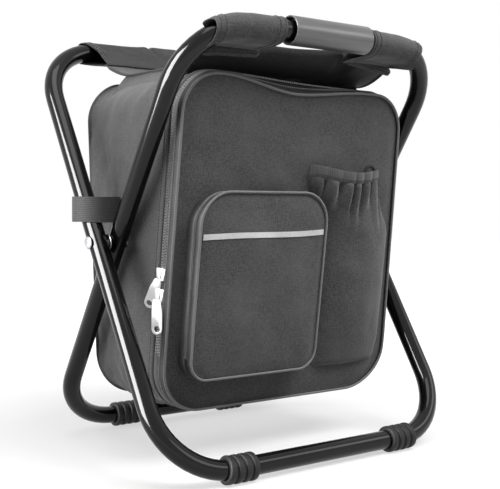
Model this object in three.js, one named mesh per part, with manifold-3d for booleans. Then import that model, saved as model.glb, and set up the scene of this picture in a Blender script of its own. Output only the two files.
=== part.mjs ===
// Folding cooler stool: two crossed tube loops, a slung seat and a zipped cooler bag between them.
// Millimetres, +Z up, +X along the rails, front at -Y. The origin is on the floor under the pivot.
import * as THREE from 'three';
import Module from 'manifold-3d';

const wasm = await Module();
wasm.setup();

// Tube frame
const tubeDiameter = 19;
const tubeWall = 1;
const outerLoopWidth = 358; // between the leg centres of the wider loop
const legGap = 2; // between an outer leg and the inner leg beside it
const railSpread = 264; // front rail to rear rail, centre to centre
const railRise = 410; // bottom rail to top rail, centre to centre
const bendRadius = 70; // on the tube's centre line
const innerTopShort = 2.5; // the inner loop's legs are this much shorter above the pivot
const fitGap = 0.3; // between pieces that touch

// Pivot rivets and spacers
const rivetShank = 5.8;
const rivetHeadDiameter = 13;
const rivetHeadHeight = 3;
const rivetTailDiameter = 10.4;
const rivetTailHeight = 1.6;
const spacerDiameter = 16;

// Feet and grip
const footWall = 4;
const footLength = 32;
const footRibs = 4;
const footGroove = 1.8; // depth between ribs
const footSlope = 0.3; // share of a groove's width taken by each of its sides
const frontFootInset = 6; // foot centre to the start of the rail's bend
const rearFootInset = 15;
const gripDiameter = 28;
const gripPlay = 0.4; // between the rail and the grip's bore
const gripLength = 98;
const gripShift = 5; // the loose grip has slid this far to the right
const gripEdge = 1.2;

// Seat and its sleeves
const clothWall = 1.4;
const sleeveSlack = 0.8; // between the rail and the cloth round it
const sleeveLoose = 4; // extra depth of the sleeve below the rail
const frontSleevePast = 44; // the sleeves end this far past the start of a bend
const rearSleevePast = 19;
const seatWall = 1.6;
const seatPast = 32; // the seat's sides lie this far past the start of the front bends
const seatDrop = 32.1; // the slack middle of the seat hangs this far below the rear rail's centre
const seatFlatHalf = 42; // half length of the flat middle of the seat
const seatSeam = 92; // the sleeves are sewn on this far from the seat's middle
const seamRise = 13; // the seams lie this far above the flat middle
const seamRound = 1.8; // radius of a sleeve's folded edge at its seam
const seamStep = 1.4; // this edge lies a little outside the seat's end and on top of it
const handCutGap = 3; // between the grip's end and the side of the hand cut-out, where a sleeve begins
const handCutBlend = 8;
const handTongue = 4; // behind the grip the seat reaches this far past its seams

// Bag
const bagSideGap = 8.5; // between the bag's side and the leg beside it
const bagBottom = 54;
const bagDrop = 9.8; // the crest of the bag's top hangs this far under the seat
const topDip = 13; // the middle of the top edge is lower than its crest on the left
const shoulderDrop = 6; // and so is its right end
const humpInset = 5; // from the top left corner's arc to the crest
const dipShift = 5; // the dip lies this far left of the middle
const shoulderInset = 14; // from the right end of the wave to the top right corner's arc
const topCorner = 38;
const bottomCorner = 44;
const frontReach = 56.6; // the front face at the bag's bottom, forward of the pivot
const frontLean = 0.1216; // forward for each mm up
const rearReach = 78.5; // the rear face at the bag's bottom, behind the pivot
const rearLean = 0.08;
const rearRound = 12;
const shellWall = 1.2;
const foamWall = 4;
const linerWall = 0.9;
const hangerInset = 37; // from the bag's side
const hangerLength = 84;
const hangerWall = 2;
const hangerReach = 42; // the hangers' front edge, forward of the pivot

// Door, main zip and piping
const doorDepth = 12;
const zipRow = 1.9; // one row of teeth, front to back
const zipThickness = 1.8;
const zipStart = 10; // the zip begins this far above the bottom corners
const doorPipingRadius = 1.6;
const sliderHeight = 190;
const sliderSpacing = 20;
const sliderLength = 12;
const sliderWidth = 8.5;
const sliderBody = 3;
const bridgeLength = 7;
const bridgeWidth = 3.2;
const bridgeHeight = 2;
const pullLength = 34;
const pullWidth = 7;
const pullNeck = 5; // width at the pivot
const pullWall = 1.4;
const pullHole = 1.9;
const upperPullTilt = THREE.MathUtils.degToRad(35);

// Front pocket
const pocketLeftInset = 15; // from the bag's left side
const pocketWidth = 154;
const pocketBottom = 88;
const pocketTop = 269;
const pocketTopCorner = 32;
const pocketBottomCorner = 20;
const pocketDepth = 22;
const pocketGussetDepth = 10;
const pocketPipingRadius = 1.5;
const stripHeight = 6;
const stripPlace = 227;
const stripWall = 0.6;
const stripInset = 3;
const pocketSliderHeight = 190;
const pocketSliderLength = 10;
const pocketSliderWidth = 6;
const pocketPullLength = 24;
const pocketPullWidth = 5;
const pocketPullNeck = 3.5;

// Bottle pocket
const bottleGap = 13; // between the two pockets
const bottleRightInset = 8;
const bottleBottom = 80;
const bottleTop = 288;
const bottleBulge = 24;
const mouthLean = 31; // the mouth's left end leans this far over the front pocket's round corner
const mouthDraw = 27; // the hem draws the mouth's right end in by this much
const footDraw = 4.3; // both sides draw in towards the bottom seam
const bottleRound = 0.7; // below 1 the arch is fuller than half a wave
const mouthStart = 0.7; // share of the height where the mouth begins to draw in
const mouthFlat = 0.15; // share of the bulge lost at the mouth
const bottleFoot = 0.15; // share of the height that narrows to the bottom seam
const seamBulge = 0.12; // share of the bulge left at the bottom seam
const swellRate = 3.2; // the bulge is full after about a quarter of the height
const hemHeight = 8;
const hemExtra = 0.8; // the hem stands out from the cloth on each face

// Leg straps
const strapHeight = 251;
const strapWidth = 20;
const strapReach = 5.5; // beyond the outer face of the leg
const strapRadius = 22;

// Facet counts
const tubeSides = 14;
const bendSteps = 6;
const footSides = 12;
const roundSides = 16;
const cornerSteps = 3;
const waveSteps = 6;
const pipingSides = 6;
const tabSteps = 6;
const archSteps = 10;
const spanSteps = 4;
const sleeveSteps = 5;
const cutSteps = 3;

const tubeRadius = tubeDiameter / 2;
const innerLoopWidth = outerLoopWidth - 2 * (tubeDiameter + legGap);
const bottomRailHeight = tubeRadius + footWall;
const topRailHeight = bottomRailHeight + railRise;
const pivotHeight = bottomRailHeight + railRise / 2;
const outerFace = outerLoopWidth / 2 + tubeRadius;
const innerFace = innerLoopWidth / 2 - tubeRadius;
const bagHalfWidth = innerFace - bagSideGap;
const humpPlace = topCorner + humpInset - bagHalfWidth;
const shoulderPlace = bagHalfWidth - topCorner - shoulderInset;
const pocketLeft = pocketLeftInset - bagHalfWidth;
const pocketRight = pocketLeft + pocketWidth;
const holeRadius = rivetShank / 2 + fitGap;

const finishes = {
  paintedSteel: { color: 0x17181a, roughness: 0.22, metalness: 0.35 },
  zincSteel: { color: 0xbfc2c6, roughness: 0.3, metalness: 1 },
  rubber: { color: 0x1c1c1e, roughness: 0.85, metalness: 0 },
  gripPlastic: { color: 0x55565a, roughness: 0.45, metalness: 0 },
  polyester: { color: 0x46474a, roughness: 0.9, metalness: 0 },
  webbing: { color: 0x2b2c2e, roughness: 0.85, metalness: 0 },
  foam: { color: 0xdcdddf, roughness: 0.95, metalness: 0 },
  liner: { color: 0xc4c8cd, roughness: 0.4, metalness: 0.2 },
  piping: { color: 0x6f7175, roughness: 0.6, metalness: 0 },
  zipTeeth: { color: 0x2a2b2d, roughness: 0.5, metalness: 0 },
  chrome: { color: 0xd9dbde, roughness: 0.15, metalness: 1 },
  reflective: { color: 0xd8d9da, roughness: 0.35, metalness: 0.1 },
  elastic: { color: 0x3d3e41, roughness: 0.9, metalness: 0 },
};

const stool = new THREE.Group();

function addPiece(name, geometry, finish, parent = stool) {
  const mesh = new THREE.Mesh(geometry, new THREE.MeshStandardMaterial(finishes[finish]));
  mesh.name = name;
  parent.add(mesh);
  return mesh;
}

function spaced(from, to, steps) {
  return Array.from({ length: steps + 1 }, (_, i) => THREE.MathUtils.lerp(from, to, i / steps));
}

function smoothStep(share) {
  const t = THREE.MathUtils.clamp(share, 0, 1);
  return t * t * (3 - 2 * t);
}

// A closed surface from points and triangles, with its faces turned outwards.
function closedGeometry(points, triangles) {
  let volume = 0;
  for (let i = 0; i < triangles.length; i += 3) {
    const [a, b, c] = [points[triangles[i]], points[triangles[i + 1]], points[triangles[i + 2]]];
    volume += a.dot(b.clone().cross(c));
  }
  const index = volume < 0 ? triangles.slice().reverse() : triangles;
  const geometry = new THREE.BufferGeometry().setFromPoints(points);
  geometry.setIndex(index);
  geometry.computeVertexNormals();
  return geometry;
}

// Triangles that fill a flat ring, wound the way the ring runs.
function fillRing(ring) {
  const normal = new THREE.Vector3();
  ring.forEach((point, i) => normal.add(point.clone().cross(ring[(i + 1) % ring.length])));
  const axes = ['x', 'y', 'z'];
  const sizes = axes.map((axis) => Math.abs(normal[axis]));
  const [first, second] = axes.filter((axis, i) => i !== sizes.indexOf(Math.max(...sizes)));
  const flat = ring.map((point) => new THREE.Vector2(point[first], point[second]));
  const forward = THREE.ShapeUtils.area(flat) > 0;
  return THREE.ShapeUtils.triangulateShape(flat, []).map((face) => {
    const corners = face.map((i) => flat[i]);
    return THREE.ShapeUtils.area(corners) > 0 === forward ? face : face.slice().reverse();
  });
}

// Skin over rings of equal count: closed along itself, or with a cap on each end.
function skin(rings, loop = false) {
  const count = rings[0].length;
  const triangles = [];
  const bands = loop ? rings.length : rings.length - 1;
  for (let band = 0; band < bands; band += 1) {
    const here = band * count;
    const next = ((band + 1) % rings.length) * count;
    for (let i = 0; i < count; i += 1) {
      const j = (i + 1) % count;
      triangles.push(here + i, here + j, next + j);
      triangles.push(here + i, next + j, next + i);
    }
  }
  if (!loop) {
    const last = (rings.length - 1) * count;
    fillRing(rings[0]).forEach(([a, b, c]) => triangles.push(c, b, a));
    fillRing(rings[rings.length - 1]).forEach(([a, b, c]) => triangles.push(last + a, last + b, last + c));
  }
  return closedGeometry(rings.flat(), triangles);
}

function toSolid(geometry) {
  const vertProperties = new Float32Array(geometry.attributes.position.array);
  const triVerts = new Uint32Array(geometry.index.array);
  return new wasm.Manifold(new wasm.Mesh({ numProp: 3, vertProperties, triVerts }));
}

function fromSolid(solid) {
  const mesh = solid.getMesh();
  const geometry = new THREE.BufferGeometry();
  geometry.setAttribute('position', new THREE.BufferAttribute(mesh.vertProperties, 3));
  geometry.setIndex(new THREE.BufferAttribute(mesh.triVerts, 1));
  geometry.computeVertexNormals();
  return geometry;
}

// A loop of tube is described by its two rails. Distances run along the tube from a rail's middle.
function makeLoop(width, topSign, topShort) {
  const top = new THREE.Vector3(0, topSign * railSpread / 2, topRailHeight);
  const bottom = new THREE.Vector3(0, -topSign * railSpread / 2, bottomRailHeight);
  const down = bottom.clone().sub(top).normalize();
  top.addScaledVector(down, topShort);
  const straightHalf = width / 2 - bendRadius;
  return {
    flatNormal: new THREE.Vector3(0, -down.z, down.y),
    top: { middle: top, inward: down, straightHalf },
    bottom: { middle: bottom, inward: down.clone().negate(), straightHalf },
  };
}

const bendLength = bendRadius * Math.PI / 2;

function bendStation(rail, side, turn) {
  const centre = rail.middle.clone();
  centre.addScaledVector(rail.inward, bendRadius * (1 - Math.cos(turn)));
  centre.x += side * (rail.straightHalf + bendRadius * Math.sin(turn));
  const outward = rail.inward.clone().multiplyScalar(-Math.cos(turn));
  outward.x += side * Math.sin(turn);
  return { centre, outward };
}

// Place and outward direction on the faceted centre line, straight between the bend's steps.
function railStation(rail, distance) {
  const side = distance < 0 ? -1 : 1;
  const past = Math.abs(distance) - rail.straightHalf;
  if (past <= 0) {
    const centre = rail.middle.clone();
    centre.x += distance;
    return { centre, outward: rail.inward.clone().negate() };
  }
  const stepTurn = Math.PI / 2 / bendSteps;
  const place = past / bendRadius / stepTurn;
  const step = Math.min(Math.floor(place), bendSteps - 1);
  const from = bendStation(rail, side, step * stepTurn);
  const to = bendStation(rail, side, (step + 1) * stepTurn);
  return {
    centre: from.centre.lerp(to.centre, place - step),
    outward: from.outward.lerp(to.outward, place - step).normalize(),
  };
}

function ringAt(station, flatNormal, radius, sides, phase = 0) {
  return Array.from({ length: sides }, (_, i) => {
    const angle = phase + 2 * Math.PI * i / sides;
    const point = station.centre.clone();
    point.addScaledVector(station.outward, radius * Math.cos(angle));
    return point.addScaledVector(flatNormal, radius * Math.sin(angle));
  });
}

function loopStations(loop) {
  const half = (rail) => Array.from({ length: bendSteps + 1 },
    (_, i) => rail.straightHalf + bendLength * i / bendSteps);
  const across = (rail) => {
    const right = half(rail);
    return [...right.slice().reverse().map((distance) => -distance), ...right];
  };
  const top = across(loop.top).map((distance) => railStation(loop.top, distance));
  const bottom = across(loop.bottom).reverse().map((distance) => railStation(loop.bottom, distance));
  return [...top, ...bottom];
}

const outerLoop = makeLoop(outerLoopWidth, 1, 0);
const innerLoop = makeLoop(innerLoopWidth, -1, innerTopShort);

// A bar along X at the pivot, used to cut the rivet holes.
function pivotBar(side) {
  const length = outerFace - innerFace + 2 * rivetHeadDiameter;
  const bar = new THREE.CylinderGeometry(holeRadius, holeRadius, length, footSides);
  bar.rotateZ(Math.PI / 2);
  bar.translate(side * (outerFace + innerFace) / 2, 0, pivotHeight);
  const plain = new THREE.BufferGeometry();
  plain.setAttribute('position', bar.attributes.position);
  plain.setIndex(bar.index);
  return toSolid(mergeByPlace(plain));
}

// One vertex for each place, so that the surface is closed.
function mergeByPlace(geometry) {
  const positions = geometry.attributes.position;
  const places = new Map();
  const points = [];
  const renamed = [];
  for (let i = 0; i < positions.count; i += 1) {
    const point = new THREE.Vector3().fromBufferAttribute(positions, i);
    const key = point.toArray().map((value) => value.toFixed(4)).join(' ');
    if (!places.has(key)) {
      places.set(key, points.length);
      points.push(point);
    }
    renamed.push(places.get(key));
  }
  const triangles = [];
  for (let i = 0; i < geometry.index.count; i += 3) {
    const face = [0, 1, 2].map((corner) => renamed[geometry.index.getX(i + corner)]);
    if (new Set(face).size === 3) triangles.push(...face);
  }
  return closedGeometry(points, triangles);
}

function loopTube(loop) {
  const stations = loopStations(loop);
  const surface = (radius) => toSolid(skin(
    stations.map((station) => ringAt(station, loop.flatNormal, radius, tubeSides)), true));
  let tube = surface(tubeRadius).subtract(surface(tubeRadius - tubeWall));
  [-1, 1].forEach((side) => {
    tube = tube.subtract(pivotBar(side));
  });
  return fromSolid(tube);
}

addPiece('outer_frame_tube', loopTube(outerLoop), 'paintedSteel');
addPiece('inner_frame_tube', loopTube(innerLoop), 'paintedSteel');

// Pivot: a domed rivet through both legs on each side, with a spacer between the legs.
function rivet(side) {
  const head = outerFace + fitGap;
  const tail = innerFace - fitGap;
  const profile = [
    [0, head + rivetHeadHeight],
    [rivetHeadDiameter * 0.28, head + rivetHeadHeight * 0.85],
    [rivetHeadDiameter * 0.43, head + rivetHeadHeight * 0.45],
    [rivetHeadDiameter / 2, head],
    [rivetShank / 2, head],
    [rivetShank / 2, tail],
    [rivetTailDiameter / 2, tail],
    [rivetTailDiameter / 2, tail - rivetTailHeight],
    [0, tail - rivetTailHeight],
  ].map(([radius, along]) => new THREE.Vector2(radius, along));
  const body = new THREE.LatheGeometry(profile, footSides);
  body.rotateZ(-side * Math.PI / 2);
  body.translate(0, 0, pivotHeight);
  return mergeByPlace(body);
}

function circleX(x, y, z, radius, sides) {
  return Array.from({ length: sides }, (_, i) => {
    const angle = 2 * Math.PI * i / sides;
    return new THREE.Vector3(x, y + radius * Math.cos(angle), z + radius * Math.sin(angle));
  });
}

function spacer(side) {
  const near = side * (innerLoopWidth / 2 + tubeRadius + fitGap);
  const far = side * (outerLoopWidth / 2 - tubeRadius - fitGap);
  const ring = (x, radius) => circleX(x, 0, pivotHeight, radius, footSides);
  return skin([
    ring(near, spacerDiameter / 2),
    ring(far, spacerDiameter / 2),
    ring(far, holeRadius),
    ring(near, holeRadius),
  ], true);
}

const sides = { left: -1, right: 1 };
Object.entries(sides).forEach(([word, side]) => {
  addPiece(`pivot_rivet_${word}`, rivet(side), 'zincSteel');
  addPiece(`pivot_spacer_${word}`, spacer(side), 'zincSteel');
});

// Ribbed rubber ring on a bottom rail, with a flat of its outline turned to the floor.
function foot(loop, side, inset) {
  const rail = loop.bottom;
  const place = side * (rail.straightHalf - inset);
  const facet = 1 / Math.cos(Math.PI / footSides);
  const ribRadius = (tubeRadius + footWall) * facet;
  const grooveRadius = (tubeRadius + footWall - footGroove) * facet;
  const boreRadius = (tubeRadius + fitGap) * facet;
  const down = new THREE.Vector3(0, 0, -1);
  const outward = rail.inward.clone().negate();
  const phase = Math.atan2(down.dot(loop.flatNormal), down.dot(outward)) + Math.PI / footSides;
  const ring = (along, radius) => ringAt(
    railStation(rail, place - footLength / 2 + along), loop.flatNormal, radius, footSides, phase);
  const pitch = footLength / (footRibs * 3 - 1);
  const rings = [];
  for (let rib = 0; rib < footRibs; rib += 1) {
    const start = rib * 3 * pitch;
    rings.push(ring(start, ribRadius), ring(start + 2 * pitch, ribRadius));
    if (rib < footRibs - 1) {
      const end = start + 2 * pitch;
      rings.push(ring(end + footSlope * pitch, grooveRadius));
      rings.push(ring(end + (1 - footSlope) * pitch, grooveRadius));
    }
  }
  const bends = [-1, 1].map((end) => end * rail.straightHalf - place + footLength / 2)
    .filter((along) => along > 0 && along < footLength);
  const bore = [0, ...bends, footLength].map((along) => ring(along, boreRadius)).reverse();
  return skin([...rings, ...bore], true);
}

Object.entries(sides).forEach(([word, side]) => {
  addPiece(`front_foot_${word}`, foot(outerLoop, side, frontFootInset), 'rubber');
  addPiece(`rear_foot_${word}`, foot(innerLoop, side, rearFootInset), 'rubber');
});

// Loose plastic tube that turns on the front top rail.
function gripTube() {
  const { y, z } = innerLoop.top.middle;
  const start = gripShift - gripLength / 2;
  const end = gripShift + gripLength / 2;
  const outer = gripDiameter / 2;
  const bore = (tubeRadius + gripPlay) / Math.cos(Math.PI / roundSides);
  const ring = (x, radius) => circleX(x, y, z, radius, roundSides);
  return skin([
    ring(start, outer - gripEdge),
    ring(start + gripEdge, outer),
    ring(end - gripEdge, outer),
    ring(end, outer - gripEdge),
    ring(end, bore),
    ring(start, bore),
  ], true);
}

addPiece('grip_tube', gripTube(), 'gripPlastic');

// Sewn sleeves: cloth that follows a rail round its bend and runs back to a seam on the seat.
const sleeveBore = tubeRadius + sleeveSlack;
const gripReach = gripLength / 2 + gripShift;
const handCutHalf = gripReach + handCutGap;
const seatMiddleTop = topRailHeight - seatDrop;
const bagTop = seatMiddleTop - seatWall - bagDrop;
const seatHalfWidth = innerLoop.top.straightHalf + seatPast;

// How far the upper and the lower side of the tube fall as it bends away from its rail.
function bendFall(rail, x) {
  const past = Math.max(0, Math.abs(x) - rail.straightHalf);
  const upper = bendRadius + tubeRadius - Math.sqrt((bendRadius + tubeRadius) ** 2 - past ** 2);
  const lower = bendRadius - tubeRadius - Math.sqrt((bendRadius - tubeRadius) ** 2 - past ** 2);
  return { upper, lower };
}

// Outline round a set of discs, in the plane of the given axes.
function hullRing(discs, axisU, axisV, count) {
  return Array.from({ length: count }, (_, i) => {
    const angle = 2 * Math.PI * (i + 0.5) / count;
    const direction = axisU.clone().multiplyScalar(Math.cos(angle));
    direction.addScaledVector(axisV, Math.sin(angle));
    const reach = (disc) => direction.dot(disc.centre) + disc.radius;
    const { centre, radius } = discs.reduce((best, disc) => (reach(disc) > reach(best) ? disc : best));
    return centre.clone().addScaledVector(direction, radius);
  });
}

const axisX = new THREE.Vector3(1, 0, 0);
const axisY = new THREE.Vector3(0, 1, 0);
const axisZ = new THREE.Vector3(0, 0, 1);

function sleeve(rail, places) {
  const seamPlace = Math.sign(rail.middle.y) * (seatSeam + fitGap + seamStep);
  const seamHeight = seatMiddleTop + seamRise + seamRound;
  const ring = (x, wall) => {
    const fall = bendFall(rail, x);
    const onRail = (drop) => rail.middle.clone().addScaledVector(rail.inward, drop).setX(x);
    return hullRing([
      { centre: onRail(fall.upper), radius: sleeveBore + wall },
      { centre: onRail(fall.lower + sleeveLoose), radius: sleeveBore + wall },
      { centre: new THREE.Vector3(x, seamPlace, seamHeight), radius: seamRound - clothWall + wall },
    ], axisY, axisZ, roundSides);
  };
  const outer = places.map((x) => ring(x, clothWall));
  const inner = places.map((x) => ring(x, 0)).reverse();
  return skin([...outer, ...inner], true);
}

function frontSleevePlaces(side) {
  const bend = innerLoop.top.straightHalf;
  const places = [handCutHalf + fitGap, ...spaced(bend, bend + frontSleevePast, sleeveSteps)];
  return places.map((x) => side * x);
}

Object.entries(sides).forEach(([word, side]) => {
  addPiece(`front_sleeve_${word}`, sleeve(innerLoop.top, frontSleevePlaces(side)), 'polyester');
});
const rearBend = outerLoop.top.straightHalf;
const rearRight = spaced(rearBend, rearBend + rearSleevePast, 2);
const rearPlaces = [...rearRight.slice().reverse().map((x) => -x), ...rearRight];
addPiece('rear_sleeve', sleeve(outerLoop.top, rearPlaces), 'polyester');

// Seat panel: slack and flat in the middle, rising to its seams, with a tongue behind the grip.
function seatHeight(y) {
  const share = Math.max(0, (Math.abs(y) - seatFlatHalf) / (seatSeam - seatFlatHalf));
  return seatMiddleTop + seamRise * share * share;
}

function seatPanel() {
  const cutStart = handCutHalf - handCutBlend;
  const places = [0, cutStart / 2, ...spaced(cutStart, handCutHalf, cutSteps), seatHalfWidth];
  const across = [...places.slice(1).reverse().map((x) => -x), ...places];
  const rings = across.map((x) => {
    const tongue = handTongue * (1 - smoothStep((Math.abs(x) - cutStart) / handCutBlend));
    const front = spaced(-seatSeam - tongue, -seatFlatHalf, spanSteps);
    const rear = spaced(seatFlatHalf, seatSeam, spanSteps);
    const top = [...front, ...rear].map((y) => new THREE.Vector3(x, y, seatHeight(y)));
    const bottom = top.map((point) => point.clone().setZ(point.z - seatWall)).reverse();
    return [...top, ...bottom];
  });
  return skin(rings);
}

addPiece('seat_panel', seatPanel(), 'polyester');

// Outlines are drawn as seen from the front, in x and height, and then leant with the bag's front.
function frontDepth(height) {
  return -frontReach - frontLean * (height - bagBottom);
}

function rearDepth(height) {
  return rearReach + rearLean * (height - bagBottom);
}

function waveHeight(x) {
  const dip = bagTop - topDip;
  const shoulder = bagTop - shoulderDrop;
  const fall = smoothStep((humpPlace - x) / (humpPlace + dipShift));
  const rise = smoothStep((x + dipShift) / (shoulderPlace + dipShift));
  return x < -dipShift ? THREE.MathUtils.lerp(bagTop, dip, fall) : THREE.MathUtils.lerp(dip, shoulder, rise);
}

// Runs up the left side, over the top and down the right side, and closes along the bottom.
function bagPath() {
  const left = -bagHalfWidth;
  const right = bagHalfWidth;
  const shoulder = bagTop - shoulderDrop;
  const path = new THREE.Path();
  path.moveTo(left, bagBottom + bottomCorner);
  path.lineTo(left, bagBottom + bottomCorner + zipStart);
  path.lineTo(left, bagTop - topCorner);
  path.absarc(left + topCorner, bagTop - topCorner, topCorner, Math.PI, Math.PI / 2, true);
  spaced(humpPlace, -dipShift, waveSteps).forEach((x) => path.lineTo(x, waveHeight(x)));
  spaced(-dipShift, shoulderPlace, waveSteps).slice(1).forEach((x) => path.lineTo(x, waveHeight(x)));
  path.absarc(right - topCorner, shoulder - topCorner, topCorner, Math.PI / 2, 0, true);
  path.lineTo(right, bagBottom + bottomCorner + zipStart);
  path.lineTo(right, bagBottom + bottomCorner);
  path.absarc(right - bottomCorner, bagBottom + bottomCorner, bottomCorner, 0, -Math.PI / 2, true);
  path.absarc(left + bottomCorner, bagBottom + bottomCorner, bottomCorner, -Math.PI / 2, -Math.PI, true);
  return path;
}

function pocketPath() {
  const top = pocketTopCorner;
  const low = pocketBottomCorner;
  const path = new THREE.Path();
  path.moveTo(pocketLeft, pocketBottom + low);
  path.lineTo(pocketLeft, pocketTop - top);
  path.absarc(pocketLeft + top, pocketTop - top, top, Math.PI, Math.PI / 2, true);
  path.absarc(pocketRight - top, pocketTop - top, top, Math.PI / 2, 0, true);
  path.lineTo(pocketRight, pocketBottom + low);
  path.absarc(pocketRight - low, pocketBottom + low, low, 0, -Math.PI / 2, true);
  path.absarc(pocketLeft + low, pocketBottom + low, low, -Math.PI / 2, -Math.PI, true);
  return path;
}

// Points of a closed path with the outward direction at each.
function makeOutline(path) {
  const drawn = path.getPoints(cornerSteps);
  const points = drawn.filter((point, i) => point.distanceTo(drawn[(i + 1) % drawn.length]) > fitGap);
  const outwards = points.map((point, i) => {
    const before = point.clone().sub(points.at(i - 1)).normalize();
    const after = points[(i + 1) % points.length].clone().sub(point).normalize();
    const along = before.add(after).normalize();
    return new THREE.Vector2(-along.y, along.x);
  });
  return points.map((point, i) => ({ point, outward: outwards[i] }));
}

function onFront(spot, offset, depth) {
  const place = spot.point.clone().addScaledVector(spot.outward, offset);
  return new THREE.Vector3(place.x, frontDepth(place.y) + depth, place.y);
}

function onRear(spot, offset, depth) {
  const place = spot.point.clone().addScaledVector(spot.outward, offset);
  return new THREE.Vector3(place.x, rearDepth(place.y) - depth, place.y);
}

const bagOutline = makeOutline(bagPath());
const pocketOutline = makeOutline(pocketPath());

function frontRing(outline, offset, depth) {
  return outline.map((spot) => onFront(spot, offset, depth));
}

function rearRing(outline, offset, depth) {
  return outline.map((spot) => onRear(spot, offset, depth));
}

// One layer of the bag behind the zip: open at the front, with its rear edges rounded off.
const zipRearDepth = doorDepth + 2 * zipRow + 3 * fitGap;

function bagLayer(outerInset, innerInset) {
  return skin([
    rearRing(bagOutline, -rearRound, innerInset),
    rearRing(bagOutline, -innerInset, rearRound),
    frontRing(bagOutline, -innerInset, zipRearDepth),
    frontRing(bagOutline, -outerInset, zipRearDepth),
    rearRing(bagOutline, -outerInset, rearRound),
    rearRing(bagOutline, -rearRound, outerInset),
  ]);
}

const foamInset = shellWall + fitGap;
const linerInset = foamInset + foamWall + fitGap;
addPiece('bag_shell', bagLayer(0, shellWall), 'polyester');
addPiece('bag_insulation', bagLayer(foamInset, foamInset + foamWall), 'foam');
addPiece('bag_liner', bagLayer(linerInset, linerInset + linerWall), 'liner');

// Door: a shallow tray of cloth with a foam and a liner sheet in it.
const doorEdge = (doorPipingRadius + fitGap) * Math.SQRT2;

function tray(outline, edge, frontOf, rearOf) {
  return skin([
    frontRing(outline, -edge, frontOf + shellWall),
    frontRing(outline, -shellWall, frontOf + edge),
    frontRing(outline, -shellWall, rearOf),
    frontRing(outline, 0, rearOf),
    frontRing(outline, 0, frontOf + edge),
    frontRing(outline, -edge, frontOf),
  ]);
}

function doorSheet(frontOf, wall) {
  const inset = Math.max(doorEdge, shellWall) + fitGap;
  return skin([frontRing(bagOutline, -inset, frontOf), frontRing(bagOutline, -inset, frontOf + wall)]);
}

addPiece('door_panel', tray(bagOutline, doorEdge, 0, doorDepth), 'polyester');
addPiece('door_insulation', doorSheet(foamInset, foamWall), 'foam');
addPiece('door_liner', doorSheet(linerInset, linerWall), 'liner');

// A band of constant section that follows an outline, or a stretch of one.
function band(spots, section, loop) {
  return skin(spots.map((spot) => section.map(([offset, depth]) => onFront(spot, offset, depth))), loop);
}

function roundSection(offset, depth, radius) {
  return Array.from({ length: pipingSides }, (_, i) => {
    const angle = 2 * Math.PI * i / pipingSides;
    return [offset + radius * Math.cos(angle), depth + radius * Math.sin(angle)];
  });
}

function boxSection(thickness, frontOf, rearOf) {
  const half = thickness / 2;
  return [[-half, frontOf], [half, frontOf], [half, rearOf], [-half, rearOf]];
}

addPiece('door_piping', band(bagOutline, roundSection(0, 0, doorPipingRadius), true), 'piping');

// Main zip: up the left side, over the top and down the right, with a cloth hinge below.
const zipLevel = bagBottom + bottomCorner + zipStart;
const zipSpots = bagOutline.filter((spot) => spot.point.y > zipLevel - fitGap);
const hingeSpots = bagOutline.filter((spot) => spot.point.y < bagBottom + fitGap);
const doorRow = boxSection(zipThickness, doorDepth + fitGap, doorDepth + fitGap + zipRow);
const bodyRowFront = doorDepth + 2 * fitGap + zipRow;
const bodyRow = boxSection(zipThickness, bodyRowFront, bodyRowFront + zipRow);
const hingeRow = boxSection(zipThickness, doorDepth + fitGap, zipRearDepth - fitGap);
addPiece('zip_tape_door', band(zipSpots, doorRow, false), 'zipTeeth');
addPiece('zip_tape_body', band(zipSpots, bodyRow, false), 'zipTeeth');
addPiece('door_hinge_strip', band(hingeSpots, hingeRow, false), 'polyester');

// Slider body with its bridge: stacked rectangles that stand out from the zip along local X.
function sliderBlock(length, width, bridgeSpan, bridgeBreadth) {
  const rectangle = (out, span, breadth) => [[1, 1], [-1, 1], [-1, -1], [1, -1]].map(
    ([v, u]) => new THREE.Vector3(out, u * breadth / 2, v * span / 2));
  return skin([
    rectangle(0, length, width),
    rectangle(sliderBody, length, width),
    rectangle(sliderBody, bridgeSpan, bridgeBreadth),
    rectangle(sliderBody + bridgeHeight, bridgeSpan, bridgeBreadth),
  ]);
}

// Pull tab that hangs along local -Z from its pivot at the local origin.
function pullTab(length, width, neck) {
  const half = width / 2;
  const shape = new THREE.Shape();
  shape.moveTo(-neck / 2, 0);
  shape.lineTo(neck / 2, 0);
  shape.lineTo(half, -width);
  shape.lineTo(half, -length + half);
  shape.absarc(0, -length + half, half, 0, -Math.PI, true);
  shape.lineTo(-half, -width);
  const hole = new THREE.Path();
  hole.absarc(0, -length + half, Math.min(pullHole, half * 0.6), 0, 2 * Math.PI, false);
  shape.holes.push(hole);
  const settings = { depth: pullWall, bevelEnabled: false, curveSegments: tabSteps };
  const tab = new THREE.ExtrudeGeometry(shape, settings);
  tab.applyMatrix4(new THREE.Matrix4().set(0, 0, 1, 0, 1, 0, 0, 0, 0, 1, 0, 0, 0, 0, 0, 1));
  return tab;
}

const leanAngle = Math.atan(frontLean);
const zipCentreDepth = doorDepth + 1.5 * fitGap + zipRow;
const sliderFoot = zipThickness / 2 + fitGap;

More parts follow.
